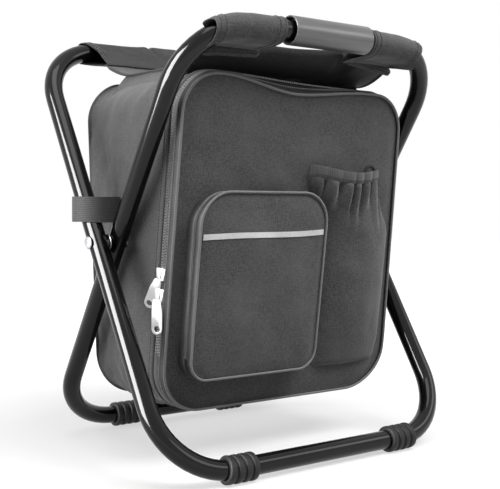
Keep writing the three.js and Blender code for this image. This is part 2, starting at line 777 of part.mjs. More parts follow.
function addSlider(word, height, tilt) {
  const group = new THREE.Group();
  group.position.set(-bagHalfWidth - sliderFoot, frontDepth(height) + zipCentreDepth, height);
  stool.add(group);
  const slider = addPiece(`zip_slider_${word}`,
    sliderBlock(sliderLength, sliderWidth, bridgeLength, bridgeWidth), 'chrome', group);
  slider.rotation.set(leanAngle, 0, Math.PI);
  const pull = addPiece(`zip_pull_${word}`, pullTab(pullLength, pullWidth, pullNeck), 'chrome', group);
  const drop = bridgeLength / 2 + fitGap + pullNeck / 2 * Math.sin(Math.abs(tilt - leanAngle));
  pull.position.set(-sliderBody - fitGap, drop * Math.sin(leanAngle), -drop * Math.cos(leanAngle));
  pull.rotation.set(tilt, 0, Math.PI);
}

addSlider('upper', sliderHeight, upperPullTilt);
addSlider('lower', sliderHeight - sliderSpacing, 0);

// Front pocket: a gusset on the door, a zip round it, and a front panel that opens.
const pocketZipFront = -pocketGussetDepth - fitGap - zipRow;
const pocketPanelRear = pocketZipFront - fitGap;
const pocketEdge = (pocketPipingRadius + fitGap) * Math.SQRT2;

function pocketGusset() {
  return skin([
    frontRing(pocketOutline, 0, -fitGap),
    frontRing(pocketOutline, 0, -pocketGussetDepth),
    frontRing(pocketOutline, -shellWall, -pocketGussetDepth),
    frontRing(pocketOutline, -shellWall, -fitGap),
  ], true);
}

const pocketZipLevel = pocketBottom + pocketBottomCorner;
const pocketZipSpots = pocketOutline.filter((spot) => spot.point.y > pocketZipLevel - fitGap);
const pocketRow = boxSection(zipThickness, pocketZipFront, -pocketGussetDepth - fitGap);
addPiece('pocket_gusset', pocketGusset(), 'polyester');
addPiece('pocket_zip', band(pocketZipSpots, pocketRow, false), 'zipTeeth');
addPiece('pocket_panel', tray(pocketOutline, pocketEdge, -pocketDepth, pocketPanelRear), 'polyester');
addPiece('pocket_piping',
  band(pocketOutline, roundSection(0, -pocketDepth, pocketPipingRadius), true), 'piping');

// Reflective strip across the pocket's panel.
function reflectiveStrip() {
  const corners = [[-1, -1], [1, -1], [1, 1], [-1, 1]];
  const middle = (pocketLeft + pocketRight) / 2;
  const half = (pocketRight - pocketLeft) / 2 - pocketEdge - stripInset;
  const ring = (depth) => corners.map(([u, v]) => {
    const height = stripPlace + v * stripHeight / 2;
    return new THREE.Vector3(middle + u * half, frontDepth(height) + depth, height);
  });
  return skin([ring(-pocketDepth - fitGap - stripWall), ring(-pocketDepth - fitGap)]);
}

addPiece('reflective_strip', reflectiveStrip(), 'reflective');

// The pocket's slider sits on its right side, out of the door's hinge line.
const pocketSlider = new THREE.Group();
const pocketZipCentre = (pocketZipFront - pocketGussetDepth - fitGap) / 2;
const pocketSliderDepth = frontDepth(pocketSliderHeight) + pocketZipCentre;
pocketSlider.position.set(pocketRight + sliderFoot, pocketSliderDepth, pocketSliderHeight);
stool.add(pocketSlider);
const pocketBlock = sliderBlock(pocketSliderLength, pocketSliderWidth, pocketSliderLength / 2, bridgeWidth);
addPiece('pocket_zip_slider', pocketBlock, 'chrome', pocketSlider).rotation.set(leanAngle, 0, 0);
const pocketTab = pullTab(pocketPullLength, pocketPullWidth, pocketPullNeck);
const pocketPull = addPiece('pocket_zip_pull', pocketTab, 'chrome', pocketSlider);
const pocketPullDrop = pocketSliderLength / 4 + fitGap;
pocketPull.position.set(
  sliderBody + fitGap, pocketPullDrop * Math.sin(leanAngle), -pocketPullDrop * Math.cos(leanAngle));
pocketPull.rotation.set(leanAngle, 0, 0);

// Bottle pocket: an arched sheet on the door, drawn in at its hem.
const bottleLeft = pocketRight + bottleGap;
const bottleRight = bagHalfWidth - bottleRightInset;

function archRing(height, left, right, bulge, wall, outerExtra = 0) {
  const arch = (from, to, rise, depth) => Array.from({ length: archSteps + 1 }, (_, i) => {
    const share = i / archSteps;
    const out = rise * Math.sin(Math.PI * share) ** bottleRound;
    const x = THREE.MathUtils.lerp(from, to, share);
    return new THREE.Vector3(x, frontDepth(height) - depth - out, height);
  });
  const outer = arch(left - outerExtra, right + outerExtra, bulge + outerExtra, fitGap);
  const inner = arch(left + wall, right - wall, bulge - wall, fitGap).reverse();
  return [...outer, ...inner];
}

// The mouth leans to the left, over the front pocket's round corner, and the foot is narrower.
function bottleStation(share) {
  const height = THREE.MathUtils.lerp(bottleBottom, bottleTop, share);
  const drawn = smoothStep((share - mouthStart) / (1 - mouthStart));
  const swell = Math.min(1, seamBulge + swellRate * share) * (1 - mouthFlat * drawn);
  const narrow = smoothStep((bottleFoot - share) / bottleFoot);
  return {
    height,
    left: bottleLeft - drawn * mouthLean + narrow * footDraw,
    right: bottleRight - drawn * mouthDraw - narrow * footDraw,
    bulge: bottleBulge * swell,
  };
}

function bottlePocket() {
  const low = spaced(0, bottleFoot, 2);
  const middle = spaced(2 * bottleFoot, mouthStart, 2);
  const high = spaced(mouthStart, 1, 3).slice(1);
  return skin([...low, ...middle, ...high].map((share) => {
    const { height, left, right, bulge } = bottleStation(share);
    return archRing(height, left, right, bulge, clothWall);
  }));
}

function bottleHem() {
  const { height, left, right, bulge } = bottleStation(1);
  const levels = [height + fitGap, height + fitGap + hemHeight];
  return skin(levels.map((level) => archRing(level, left, right, bulge, clothWall + hemExtra, hemExtra)));
}

addPiece('bottle_pocket', bottlePocket(), 'polyester');
addPiece('bottle_pocket_hem', bottleHem(), 'elastic');

// Hangers sewn between the top of the bag and the underside of the seat.
function hanger(side) {
  const x = side * (bagHalfWidth - hangerInset);
  const low = waveHeight(x) + fitGap;
  const high = seatMiddleTop - seatWall - fitGap;
  const plate = new THREE.BoxGeometry(hangerWall, hangerLength, high - low);
  plate.translate(x, hangerLength / 2 - hangerReach, (low + high) / 2);
  return plate;
}

// Webbing loop from the side of the bag round the outer leg, just above the pivot.
function legStrap(side) {
  const legRun = railSpread / railRise;
  const y = legRun * (strapHeight - pivotHeight);
  const far = new THREE.Vector3(side * (outerFace + strapReach - strapRadius), y, 0);
  const near = new THREE.Vector3(side * (bagHalfWidth + fitGap + strapRadius), y, 0);
  const ring = (radius, height) => hullRing(
    [{ centre: far, radius }, { centre: near, radius }], axisX, axisY, roundSides)
    .map((point) => point.setZ(height));
  const low = strapHeight - strapWidth / 2;
  const high = strapHeight + strapWidth / 2;
  const inner = strapRadius - clothWall;
  return skin([ring(strapRadius, low), ring(strapRadius, high), ring(inner, high), ring(inner, low)], true);
}

Object.entries(sides).forEach(([word, side]) => {
  addPiece(`hanger_${word}`, hanger(side), 'polyester');
  addPiece(`leg_strap_${word}`, legStrap(side), 'webbing');
});

export default stool;
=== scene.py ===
import math

import bmesh
import bpy
from mathutils import Matrix, Vector, noise


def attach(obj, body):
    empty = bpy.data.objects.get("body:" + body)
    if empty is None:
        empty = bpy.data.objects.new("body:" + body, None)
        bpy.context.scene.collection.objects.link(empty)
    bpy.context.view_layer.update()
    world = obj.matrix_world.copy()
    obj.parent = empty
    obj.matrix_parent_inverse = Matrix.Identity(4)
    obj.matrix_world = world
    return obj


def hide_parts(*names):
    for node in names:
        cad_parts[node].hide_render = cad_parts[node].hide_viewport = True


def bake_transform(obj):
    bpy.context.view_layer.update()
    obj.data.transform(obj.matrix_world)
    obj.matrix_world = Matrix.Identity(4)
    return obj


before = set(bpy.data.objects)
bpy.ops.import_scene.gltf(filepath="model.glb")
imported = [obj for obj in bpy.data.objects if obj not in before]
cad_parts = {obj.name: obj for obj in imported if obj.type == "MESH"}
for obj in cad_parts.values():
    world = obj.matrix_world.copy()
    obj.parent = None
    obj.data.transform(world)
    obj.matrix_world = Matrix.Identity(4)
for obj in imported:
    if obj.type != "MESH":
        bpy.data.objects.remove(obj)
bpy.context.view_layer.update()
mm = 0.001


# colours are written as sRGB hex and used as linear light
def linear(hexText):
    parts = [int(hexText[i:i + 2], 16) / 255 for i in (1, 3, 5)]
    return tuple(c / 12.92 if c <= 0.04045 else ((c + 0.055) / 1.055) ** 2.4 for c in parts) + (1,)


# a node with its settings, its values or links, and the two colours of a ramp
def addNode(tree, kind, inputs=None, colours=(), **settings):
    node = tree.nodes.new("ShaderNode" + kind)
    for key, value in settings.items():
        setattr(node, key, value)
    for key, value in (inputs or {}).items():
        if isinstance(value, bpy.types.NodeSocket):
            tree.links.new(value, node.inputs[key])
        else:
            node.inputs[key].default_value = value
    if colours:
        for element, position, colour in zip(node.color_ramp.elements, (0.3, 0.7), colours):
            element.position = position
            element.color = linear(colour)
    return node


def newMaterial(name, **sockets):
    material = bpy.data.materials.new(name)
    material.use_nodes = True
    tree = material.node_tree
    shader = tree.nodes["Principled BSDF"]
    for key, value in sockets.items():
        shader.inputs[key.replace("_", " ")].default_value = value
    return material, tree, shader


# what varies over the surface, linked to the shader
def feed(tree, shader, **sockets):
    for key, value in sockets.items():
        tree.links.new(value, shader.inputs[key.replace("_", " ")])


# noise stretched into threads: size is its reach along each axis, in mm
def threadNoise(tree, coords, size, detail=2):
    scaled = addNode(tree, "Mapping", {"Vector": coords, "Scale": [1000 / s for s in size]})
    return addNode(tree, "TexNoise", {"Vector": scaled.outputs[0], "Scale": 1, "Detail": detail}).outputs["Fac"]


# woven polyester: mottled matt threads with a soft sheen, slack here and there
# real yarns are 0.3 mm, drawn at 1.2 mm so that they show
def wovenPolyester(name, dark, light, paler, sheen=0.25, rough=0.82):
    material, tree, shader = newMaterial(name, Roughness=rough, Sheen_Weight=sheen, Sheen_Roughness=0.45,
                                         Specular_IOR_Level=0.25)
    uv = addNode(tree, "UVMap", uv_map="clothMap").outputs[0]
    yarn, run, speck = 1.2, 6, 1.9
    weave = threadNoise(tree, uv, (yarn, run, 10))
    for size, detail in (((run, yarn, 10), 2), ((speck, speck, 10), 1)):
        threads = threadNoise(tree, uv, size, detail)
        weave = addNode(tree, "Math", {0: weave, 1: threads}, operation="ADD").outputs[0]
    weave = addNode(tree, "MapRange", {"Value": weave, 1: 1.1, 2: 1.9}).outputs[0]
    cloth = addNode(tree, "ValToRGB", {"Fac": weave}, (dark, light)).outputs[0]
    place = addNode(tree, "TexCoord").outputs["Object"]
    patches = addNode(tree, "TexNoise", {"Vector": place, "Scale": 22, "Detail": 4}).outputs["Fac"]
    amount = addNode(tree, "MapRange", {"Value": patches, 1: 0.42, 2: 0.72, 3: 0.0, 4: 0.45}).outputs[0]
    mixed = addNode(tree, "Mix", {0: amount, 6: cloth, 7: linear(paler)}, data_type="RGBA").outputs[2]
    slack = addNode(tree, "TexNoise", {"Vector": place, "Scale": 22, "Detail": 2}).outputs["Fac"]
    slack = addNode(tree, "Bump", {"Height": slack, "Strength": 0.45, "Distance": 6 * mm}).outputs[0]
    relief = {"Height": weave, "Strength": 0.3, "Distance": 0.4 * mm, "Normal": slack}
    feed(tree, shader, Base_Color=mixed, Normal=addNode(tree, "Bump", relief).outputs[0])
    return material


def makeMaterials():
    made = {"bagCloth": wovenPolyester("woven_polyester_bag", "#3c3c3d", "#4e4e4f", "#545455"),
            "seatCloth": wovenPolyester("woven_polyester_seat", "#3a3a3b", "#4e4e4f", "#545455"),
            # a darker copy of the seat cloth, painted shade, for the rear sleeve and the seat's hems
            "shadedSeatCloth": wovenPolyester("woven_polyester_seat_painted_shade", "#252526", "#333334", "#363637", 0.1),
            # near-black cloth: the seat's coated back, and painted shade on the gussets of the door and the
            # front pocket
            "coatedBackAndShadeCloth": wovenPolyester("coated_polyester_back_and_painted_shade", "#1c1c1d", "#282829", "#2c2c2d", 0.05, 0.6)}

    # black enamel on steel: deep black with a bright line of gloss and a faint orange peel
    made["paint"], tree, shader = newMaterial("black_enamel_steel", Specular_IOR_Level=0.1, Coat_Weight=0.35,
                                              Coat_IOR=1.5, Coat_Roughness=0.04)
    place = addNode(tree, "TexCoord").outputs["Object"]
    peel = addNode(tree, "TexNoise", {"Vector": place, "Scale": 260, "Detail": 2}).outputs["Fac"]
    rub = addNode(tree, "TexNoise", {"Vector": place, "Scale": 14, "Detail": 6}).outputs["Fac"]
    black = addNode(tree, "ValToRGB", {"Fac": rub}, ("#060606", "#0d0d0e")).outputs[0]
    rough = addNode(tree, "MapRange", {"Value": rub, 3: 0.14, 4: 0.27}).outputs[0]
    bump = addNode(tree, "Bump", {"Height": peel, "Strength": 0.03, "Distance": 0.2 * mm}).outputs[0]
    feed(tree, shader, Base_Color=black, Roughness=rough, Normal=bump)

    # moulded rubber: dull black, with lighter grey specks towards its bottom
    made["rubber"], tree, shader = newMaterial("moulded_rubber", Specular_IOR_Level=0.35)
    place = addNode(tree, "TexCoord").outputs["Object"]
    pores = addNode(tree, "TexNoise", {"Vector": place, "Scale": 900, "Detail": 2}).outputs["Fac"]
    height = addNode(tree, "SeparateXYZ", {0: place}).outputs[2]
    paler = addNode(tree, "MapRange", {"Value": height, 1: 0.0, 2: 0.009, 3: 0.9, 4: 0.0}).outputs[0]
    paler = addNode(tree, "Math", {0: paler, 1: pores}, operation="MULTIPLY").outputs[0]
    tints = {0: paler, 6: linear("#1b1b1c"), 7: linear("#4a4a4b")}
    tint = addNode(tree, "Mix", tints, data_type="RGBA").outputs[2]
    rough = addNode(tree, "MapRange", {"Value": pores, 3: 0.5, 4: 0.68}).outputs[0]
    bump = addNode(tree, "Bump", {"Height": pores, "Strength": 0.25, "Distance": 0.15 * mm}).outputs[0]
    feed(tree, shader, Base_Color=tint, Roughness=rough, Normal=bump)

    # extruded satin plastic: fine draw lines along the tube
    made["grip"], tree, shader = newMaterial("satin_plastic_tube", Specular_IOR_Level=0.9, Metallic=0.3)
    place = addNode(tree, "TexCoord").outputs["Object"]
    lines = threadNoise(tree, place, (60, 0.9, 0.9))
    grey = addNode(tree, "ValToRGB", {"Fac": lines}, ("#4a4a4b", "#585859")).outputs[0]
    rough = addNode(tree, "MapRange", {"Value": lines, 3: 0.28, 4: 0.4}).outputs[0]
    bump = addNode(tree, "Bump", {"Height": lines, "Strength": 0.08, "Distance": 0.2 * mm}).outputs[0]
    feed(tree, shader, Base_Color=grey, Roughness=rough, Normal=bump)

    # bright plated metal for rivets, sliders and pulls: fine polishing scratches
    for key, name, metallic, shades, low, high in (
            ("zinc", "zinc_plated_steel", 1.0, ("#a5a8ac", "#c3c6ca"), 0.22, 0.36),
            # the nickel is near-white diffuse colour over a weak metal: a painted highlight standing in for its
            # bright reflection
            ("chrome", "satin_nickel_zinc_painted_glint", 0.3, ("#ececec", "#f8f8f8"), 0.3, 0.42)):
        made[key], tree, shader = newMaterial(name, Metallic=metallic)
        place = addNode(tree, "TexCoord").outputs["Object"]
        scratch = threadNoise(tree, place, (0.5, 0.5, 6), 3)
        bright = addNode(tree, "ValToRGB", {"Fac": scratch}, shades).outputs[0]
        rough = addNode(tree, "MapRange", {"Value": scratch, 3: low, 4: high}).outputs[0]
        feed(tree, shader, Base_Color=bright, Roughness=rough)

    # ribbed textiles: webbing has ribs across Z, the covered elastic along X, the piping cord a slanted twill
    for key, name, shades, direction, pitch, depth in (
            ("webbing", "woven_webbing", ("#2e2e2f", "#424243"), "Z", 1.8, 0.5),
            ("elastic", "covered_elastic", ("#404041", "#4c4c4d"), "X", 1.7, 0.5),
            ("piping", "cloth_covered_cord", ("#6a6a6b", "#7a7a7b"), "DIAGONAL", 1.0, 0.12)):
        made[key], tree, shader = newMaterial(name, Roughness=0.75, Sheen_Weight=0.2, Specular_IOR_Level=0.3)
        place = addNode(tree, "TexCoord").outputs["Object"]
        ribs = {"Vector": place, "Scale": 0.314 / (pitch * mm), "Distortion": 0.6}
        wave = addNode(tree, "TexWave", ribs, bands_direction=direction).outputs["Fac"]
        fuzz = addNode(tree, "TexNoise", {"Vector": place, "Scale": 700, "Detail": 2}).outputs["Fac"]
        rib = addNode(tree, "Mix", {0: 0.45, 2: wave, 3: fuzz}).outputs[0]
        ribbed = addNode(tree, "ValToRGB", {"Fac": rib}, shades).outputs[0]
        bump = addNode(tree, "Bump", {"Height": rib, "Strength": 0.5, "Distance": depth * mm}).outputs[0]
        feed(tree, shader, Base_Color=ribbed, Normal=bump)

    # zip and thread: dark woven tape, slightly glossy nylon teeth, dull dark stitches
    for key, name, shades, rough in (
            ("zipTape", "woven_zip_tape", ("#161617", "#232324"), 0.8),
            ("zipTeeth", "nylon_zip_teeth", ("#7c7c7d", "#9c9c9d"), 0.36),
            ("thread", "polyester_sewing_thread", ("#171718", "#272728"), 0.6)):
        made[key], tree, shader = newMaterial(name, Roughness=rough, Specular_IOR_Level=0.4)
        place = addNode(tree, "TexCoord").outputs["Object"]
        fibres = addNode(tree, "TexNoise", {"Vector": place, "Scale": 800, "Detail": 2}).outputs["Fac"]
        yarn = addNode(tree, "ValToRGB", {"Fac": fibres}, shades).outputs[0]
        bump = addNode(tree, "Bump", {"Height": fibres, "Strength": 0.3, "Distance": 0.2 * mm}).outputs[0]
        feed(tree, shader, Base_Color=yarn, Normal=bump)

    # retroreflective tape: pale grey glass beads, 0.1 mm in life, drawn at 0.6 mm
    made["tape"], tree, shader = newMaterial("retroreflective_tape", Specular_IOR_Level=0.6)
    place = addNode(tree, "TexCoord").outputs["Object"]
    beads = addNode(tree, "TexVoronoi", {"Vector": place, "Scale": 1600}).outputs["Distance"]
    pale = addNode(tree, "ValToRGB", {"Fac": beads}, ("#d2d2d2", "#bdbdbe")).outputs[0]
    rough = addNode(tree, "MapRange", {"Value": beads, 3: 0.3, 4: 0.5}).outputs[0]
    feed(tree, shader, Base_Color=pale, Roughness=rough)

    # coated silver lining: crinkled foil-like cloth
    made["lining"], tree, shader = newMaterial("coated_silver_lining", Metallic=0.35, Specular_IOR_Level=0.5)
    place = addNode(tree, "TexCoord").outputs["Object"]
    folds = {"Vector": place, "Scale": 70, "Detail": 6, "Distortion": 1.2}
    crinkle = addNode(tree, "TexNoise", folds).outputs["Fac"]
    silver = addNode(tree, "ValToRGB", {"Fac": crinkle}, ("#a9adb2", "#c6cace")).outputs[0]
    rough = addNode(tree, "MapRange", {"Value": crinkle, 3: 0.3, 4: 0.5}).outputs[0]
    bump = addNode(tree, "Bump", {"Height": crinkle, "Strength": 0.6, "Distance": 1.5 * mm}).outputs[0]
    feed(tree, shader, Base_Color=silver, Roughness=rough, Normal=bump)
    return made


materials = makeMaterials()
print("materials:", len(materials))


# flat cloth coordinates in metres, from the side that a face looks to
def mapCloth(bm):
    layer = bm.loops.layers.uv.verify()
    for face in bm.faces:
        n = [abs(c) for c in face.normal]
        a, b = ((1, 2), (0, 2), (0, 1))[n.index(max(n))]
        for corner in face.loops:
            corner[layer].uv = (corner.vert.co[a], corner.vert.co[b])


def finishPiece(bm, name, looks, body=None, replaces=(), sharp=50):
    bm.normal_update()
    mapCloth(bm)
    mesh = bpy.data.meshes.new(name)
    bm.to_mesh(mesh)
    bm.free()
    mesh.uv_layers[0].name = "clothMap"
    for look in looks:
        mesh.materials.append(materials[look])
    mesh.shade_smooth()
    mesh.set_sharp_from_angle(angle=math.radians(sharp))
    piece = bpy.data.objects.new(name, mesh)
    bpy.context.scene.collection.objects.link(piece)
    if body:
        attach(piece, body)
    if replaces:
        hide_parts(*replaces)
    return piece


# a skin pulled through rings of points: each ring is extruded from the last one and put in place
def loft(bm, rings, ringClosed=True, loop=False):
    place = bm.verts.layers.int.get("place") or bm.verts.layers.int.new("place")
    verts = [bm.verts.new(p) for p in rings[0]]
    for i, vert in enumerate(verts):
        vert[place] = i
    live = [bm.edges.new(pair) for pair in zip(verts, verts[1:])]
    if ringClosed:
        live.append(bm.edges.new((verts[-1], verts[0])))
    first = live
    for ring in rings[1:]:
        grown = bmesh.ops.extrude_edge_only(bm, edges=live)["geom"]
        for item in grown:
            if isinstance(item, bmesh.types.BMVert):
                item.co = ring[item[place]]
        live = [item for item in grown if isinstance(item, bmesh.types.BMEdge)]
    if loop:
        bmesh.ops.bridge_loops(bm, edges=first + live)
    return first, live


def closeEnds(bm, *ends):
    for edges in ends:
        bmesh.ops.contextual_create(bm, geom=edges)


def turnOut(bm):
    bmesh.ops.remove_doubles(bm, verts=bm.verts, dist=1e-6)
    bmesh.ops.recalc_face_normals(bm, faces=bm.faces)


def skin(rings, loop=False):
    bm = bmesh.new()
    loft(bm, rings, loop=loop)
    turnOut(bm)
    return bm


# an open cloth faces one way
def turnTowards(bm, direction):
    bm.normal_update()
    total = sum((f.normal * f.calc_area() for f in bm.faces), Vector())
    if total.dot(Vector(direction)) < 0:
        bmesh.ops.reverse_faces(bm, faces=bm.faces)
    bm.normal_update()


def thicken(bm, wall):
    bm.normal_update()
    bmesh.ops.solidify(bm, geom=bm.faces[:], thickness=wall)


# a thin cloth: a grid put in place by a function of its two shares, turned one way and thickened
def clothGrid(across, up, place, facing, wall):
    bm = bmesh.new()
    bmesh.ops.create_grid(bm, x_segments=across, y_segments=up, size=0.5)
    for vert in bm.verts:
        vert.co = place(vert.co.x + 0.5, vert.co.y + 0.5)
    turnTowards(bm, facing)
    thicken(bm, wall)
    return bm


# the faces from one on take the second material
def secondLook(bm, start):
    for i, face in enumerate(bm.faces):
        face.material_index = 0 if i < start else 1


def roundSection(radius, count=12):
    turns = [2 * math.pi * i / count for i in range(count)]
    return [(radius * math.cos(t), radius * math.sin(t)) for t in turns]


def circle(matrix, radius, count):
    return [matrix @ Vector((a, b, 0)) for a, b in roundSection(radius, count)]


def lerp(a, b, t):
    return a + (b - a) * t


def smooth(t):
    t = min(max(t, 0), 1)
    return t * t * (3 - 2 * t)


# a smooth step from 0 to 1 that starts at one length and takes another, both in mm
def ease(x, start, length):
    return smooth((x - start * mm) / (length * mm))


def spaced(a, b, steps):
    return [lerp(a, b, i / steps) for i in range(steps + 1)]


# even points along a line of points
def resample(points, count, closed=False):
    line = list(points) + ([points[0]] if closed else [])
    runs = [0]
    for a, b in zip(line, line[1:]):
        runs.append(runs[-1] + (b - a).length)
    out = []
    at = 0
    for i in range(count if closed else count + 1):
        want = runs[-1] * i / count
        while at < len(line) - 2 and runs[at + 1] < want:
            at += 1
        span = runs[at + 1] - runs[at]
        out.append(line[at].lerp(line[at + 1], (want - runs[at]) / span if span else 0))
    return out


# waves in cloth, with size and depth in mm
def ripple(point, size, depth, seed=0):
    return depth * mm * noise.noise(Vector(point) / (size * mm) + Vector((seed * 7.3, seed * 3.1, seed)))


def cloud(point, size, depth, seed=0):
    return ripple(point, size, depth, seed) + ripple(point, size * 0.45, depth * 0.45, seed + 5)


# small thread bars laid along a line, each with the direction that it stands out
def stitchRow(bm, points, outs, pitch=3.2 * mm, length=2.3 * mm, width=0.7 * mm):
    run = sum((b - a).length for a, b in zip(points, points[1:]))
    count = max(2, int(run / pitch))
    spots = resample(points, count)
    outSpots = resample(outs, count) if len(outs) == len(points) else [outs[0]] * (count + 1)
    for i in range(count):
        along = (spots[i + 1] - spots[i]).normalized()
        out = outSpots[i].normalized()
        side = along.cross(out).normalized()
        out = side.cross(along)
        middle = spots[i].lerp(spots[i + 1], 0.5)
        matrix = Matrix((along * length, side * width, out * width * 0.7)).transposed().to_4x4()
        matrix.translation = middle
        bmesh.ops.create_cube(bm, size=1, matrix=matrix)


# tube frame: two crossed loops; a rail is measured from its middle
tube = {"radius": 9.5 * mm, "outerWidth": 358 * mm, "legGap": 2 * mm, "spread": 264 * mm, "rise": 410 * mm,
        "bend": 70 * mm, "low": 13.5 * mm, "sides": 30, "bendSteps": 14, "topShort": 2.5 * mm}
tube["innerWidth"] = tube["outerWidth"] - 2 * (2 * tube["radius"] + tube["legGap"])
tube["high"] = tube["low"] + tube["rise"]
pivot = Vector((0, 0, tube["low"] + tube["rise"] / 2))


def makeLoop(width, topSign, topShort=0.0):
    top = Vector((0, topSign * tube["spread"] / 2, tube["high"]))
    bottom = Vector((0, -topSign * tube["spread"] / 2, tube["low"]))
    down = (bottom - top).normalized()
    return {"half": width / 2 - tube["bend"], "top": top + down * topShort, "bottom": bottom, "down": down}


def railFrame(loop, end, along):
    inward = loop["down"] if end == "top" else -loop["down"]
    side = -1 if along < 0 else 1
    turn = max(0, abs(along) - loop["half"]) / tube["bend"]
    centre = loop[end] + inward * tube["bend"] * (1 - math.cos(turn))
    centre.x += side * (min(abs(along), loop["half"]) + tube["bend"] * math.sin(turn))
    out = Vector((side * math.sin(turn), 0, 0)) - inward * math.cos(turn)
    ahead = Vector((math.cos(turn), 0, 0)) + inward * side * math.sin(turn)
    matrix = Matrix((out, ahead.cross(out), ahead)).transposed().to_4x4()
    matrix.translation = centre
    return matrix


def loopFrames(loop):
    reach = tube["bend"] * math.pi / 2
    right = spaced(loop["half"], loop["half"] + reach, tube["bendSteps"])
    across = [-a for a in reversed(right)] + right
    top = [railFrame(loop, "top", a) for a in across]
    flip = Matrix.Rotation(math.pi, 4, "X")
    bottom = [railFrame(loop, "bottom", a) @ flip for a in reversed(across)]
    return top + bottom


outerLoop = makeLoop(tube["outerWidth"], 1)
innerLoop = makeLoop(tube["innerWidth"], -1, tube["topShort"])    # its top rail sits a little lower
bothSides = (("Left", -1), ("Right", 1))


def makeTube(name, loop, body, node):
    bm = skin([circle(m, tube["radius"], tube["sides"]) for m in loopFrames(loop)], loop=True)
    finishPiece(bm, name, ["paint"], body, [node])


makeTube("outerTube", outerLoop, "outer_frame", "outer_frame_tube")
makeTube("innerTube", innerLoop, "inner_frame", "inner_frame_tube")


# a closed shape spun from a profile of (distance along X, radius)
def spun(name, profile, centre, looks, body, node, steps=40, sharp=40):
    bm = bmesh.new()
    verts = [bm.verts.new(Vector((x, centre.y, centre.z + r))) for x, r in profile]
    for pair in zip(verts, verts[1:]):
        bm.edges.new(pair)
    if profile[0] == profile[-1]:
        bmesh.ops.remove_doubles(bm, verts=bm.verts, dist=1e-7)
    bmesh.ops.spin(bm, geom=bm.verts[:] + bm.edges[:], cent=centre, axis=(1, 0, 0), dvec=(0, 0, 0),
                   angle=2 * math.pi, steps=steps, use_merge=True)
    turnOut(bm)
    finishPiece(bm, name, looks, body, [node], sharp)


rivet = {"headRadius": 6.5 * mm, "headHeight": 3 * mm, "rim": 0.6 * mm, "shank": 2.9 * mm, "tail": 5.2 * mm,
         "tailHeight": 1.6 * mm, "outerFace": 188.8 * mm, "innerFace": 148.2 * mm}
spacer = {"near": 167.8 * mm, "far": 169.2 * mm, "radius": 8 * mm, "bore": 3.2 * mm, "edge": 0.3 * mm}
for word, side in bothSides:
    outer, inner, drop = rivet["outerFace"], rivet["innerFace"], rivet["tailHeight"]
    profile = []
    for turn in spaced(0, math.pi / 2, 8):
        profile.append((outer + rivet["rim"] + (rivet["headHeight"] - rivet["rim"]) * math.cos(turn),
                        rivet["headRadius"] * math.sin(turn)))
    profile += [(outer, rivet["headRadius"] * 0.97), (outer, rivet["shank"]), (inner, rivet["shank"]),
                (inner, rivet["tail"]), (inner - drop * 0.7, rivet["tail"]),
                (inner - drop, rivet["tail"] * 0.75), (inner - drop, 0)]
    near, far, wide, edge, bore = (spacer[key] for key in ("near", "far", "radius", "edge", "bore"))
    ring = [(near, bore), (near, wide - edge), (near + edge, wide), (far - edge, wide), (far, wide - edge),
            (far, bore), (near, bore)]
    for name, shape in (("rivet", profile), ("spacer", ring)):
        spun(name + word, [(side * x, r) for x, r in shape], pivot, ["zinc"], "outer_frame",
             f"pivot_{name}_{word.lower()}")

# ribbed rubber feet that follow the bottom rails
foot = {"length": 32 * mm, "ribs": 4, "radius": 13.5 * mm, "groove": 11.7 * mm, "sides": 36, "play": 0.15 * mm,
        "frontIn": 6 * mm, "rearIn": 15 * mm}
ribShape = ((0.0, 0.0), (0.03, 0.55), (0.1, 0.9), (0.22, 1.0), (0.52, 1.0), (0.64, 0.9), (0.71, 0.55),
            (0.75, 0.0))    # along and up one rib


def makeFoot(name, loop, along, body, node):
    stations = []
    pitch = foot["length"] / (foot["ribs"] - 0.25)
    for rib in range(foot["ribs"]):
        for share, rise in ribShape:
            stations.append(((rib + share) * pitch, lerp(foot["groove"], foot["radius"], rise)))
    bore = tube["radius"] + foot["play"]
    stations = [(0, bore)] + stations + [(foot["length"], bore)]
    start = along - foot["length"] / 2
    rings = [circle(railFrame(loop, "bottom", start + s), r, foot["sides"]) for s, r in stations]
    bm = skin(rings, loop=True)
    finishPiece(bm, name, ["rubber"], body, [node], 70)


for word, side in bothSides:
    for name, loop, inset, body in (("front", outerLoop, foot["frontIn"], "outer_frame"),
                                    ("rear", innerLoop, foot["rearIn"], "inner_frame")):
        makeFoot(name + "Foot" + word, loop, side * (loop["half"] - inset), body, f"{name}_foot_{word.lower()}")

# loose plastic grip: thin at its ends, with a bush inside that runs on the rail
grip = {"start": -48 * mm, "end": 50 * mm, "radius": 14 * mm, "mouth": 12 * mm, "bore": 9.9 * mm,
        "recess": 9 * mm, "edge": 0.9 * mm}
gripProfile = []
for x, way in ((grip["start"], 1), (grip["end"], -1)):
    inside, edge = x + way * grip["recess"], way * grip["edge"]
    half = [(inside, grip["bore"]), (inside, grip["mouth"]), (x + edge, grip["mouth"]),
            (x, grip["mouth"] + grip["edge"]), (x + 0.25 * edge, grip["radius"] - 0.25 * grip["edge"]),
            (x + edge, grip["radius"])]
    gripProfile += half if way > 0 else half[::-1]
gripProfile.append(gripProfile[0])
spun("gripTube", gripProfile, innerLoop["top"], ["grip"], "grip", "grip_tube", 48)
print("frame, feet, rivets and grip done")

# seat: a slack cloth sewn between sleeves that go round the two top rails
seat = {"halfWidth": 120 * mm, "drawIn": 7 * mm, "middle": 391.4 * mm, "flatHalf": 42 * mm, "seam": 92 * mm,
        "rise": 13 * mm, "tongue": 4 * mm, "cutStart": 49 * mm, "cutBlend": 8 * mm, "wall": 1.4 * mm,
        "drawInRight": 1.5 * mm, "rearOver": 3.5 * mm, "rightSag": 3.5 * mm}
sleeve = {"radius": 10.7 * mm, "wall": 0.9 * mm, "tip": 1.6 * mm, "tipOut": 93.7 * mm, "tipHigh": 406.2 * mm,
          "hem": 10 * mm, "hemLift": 0.6 * mm}
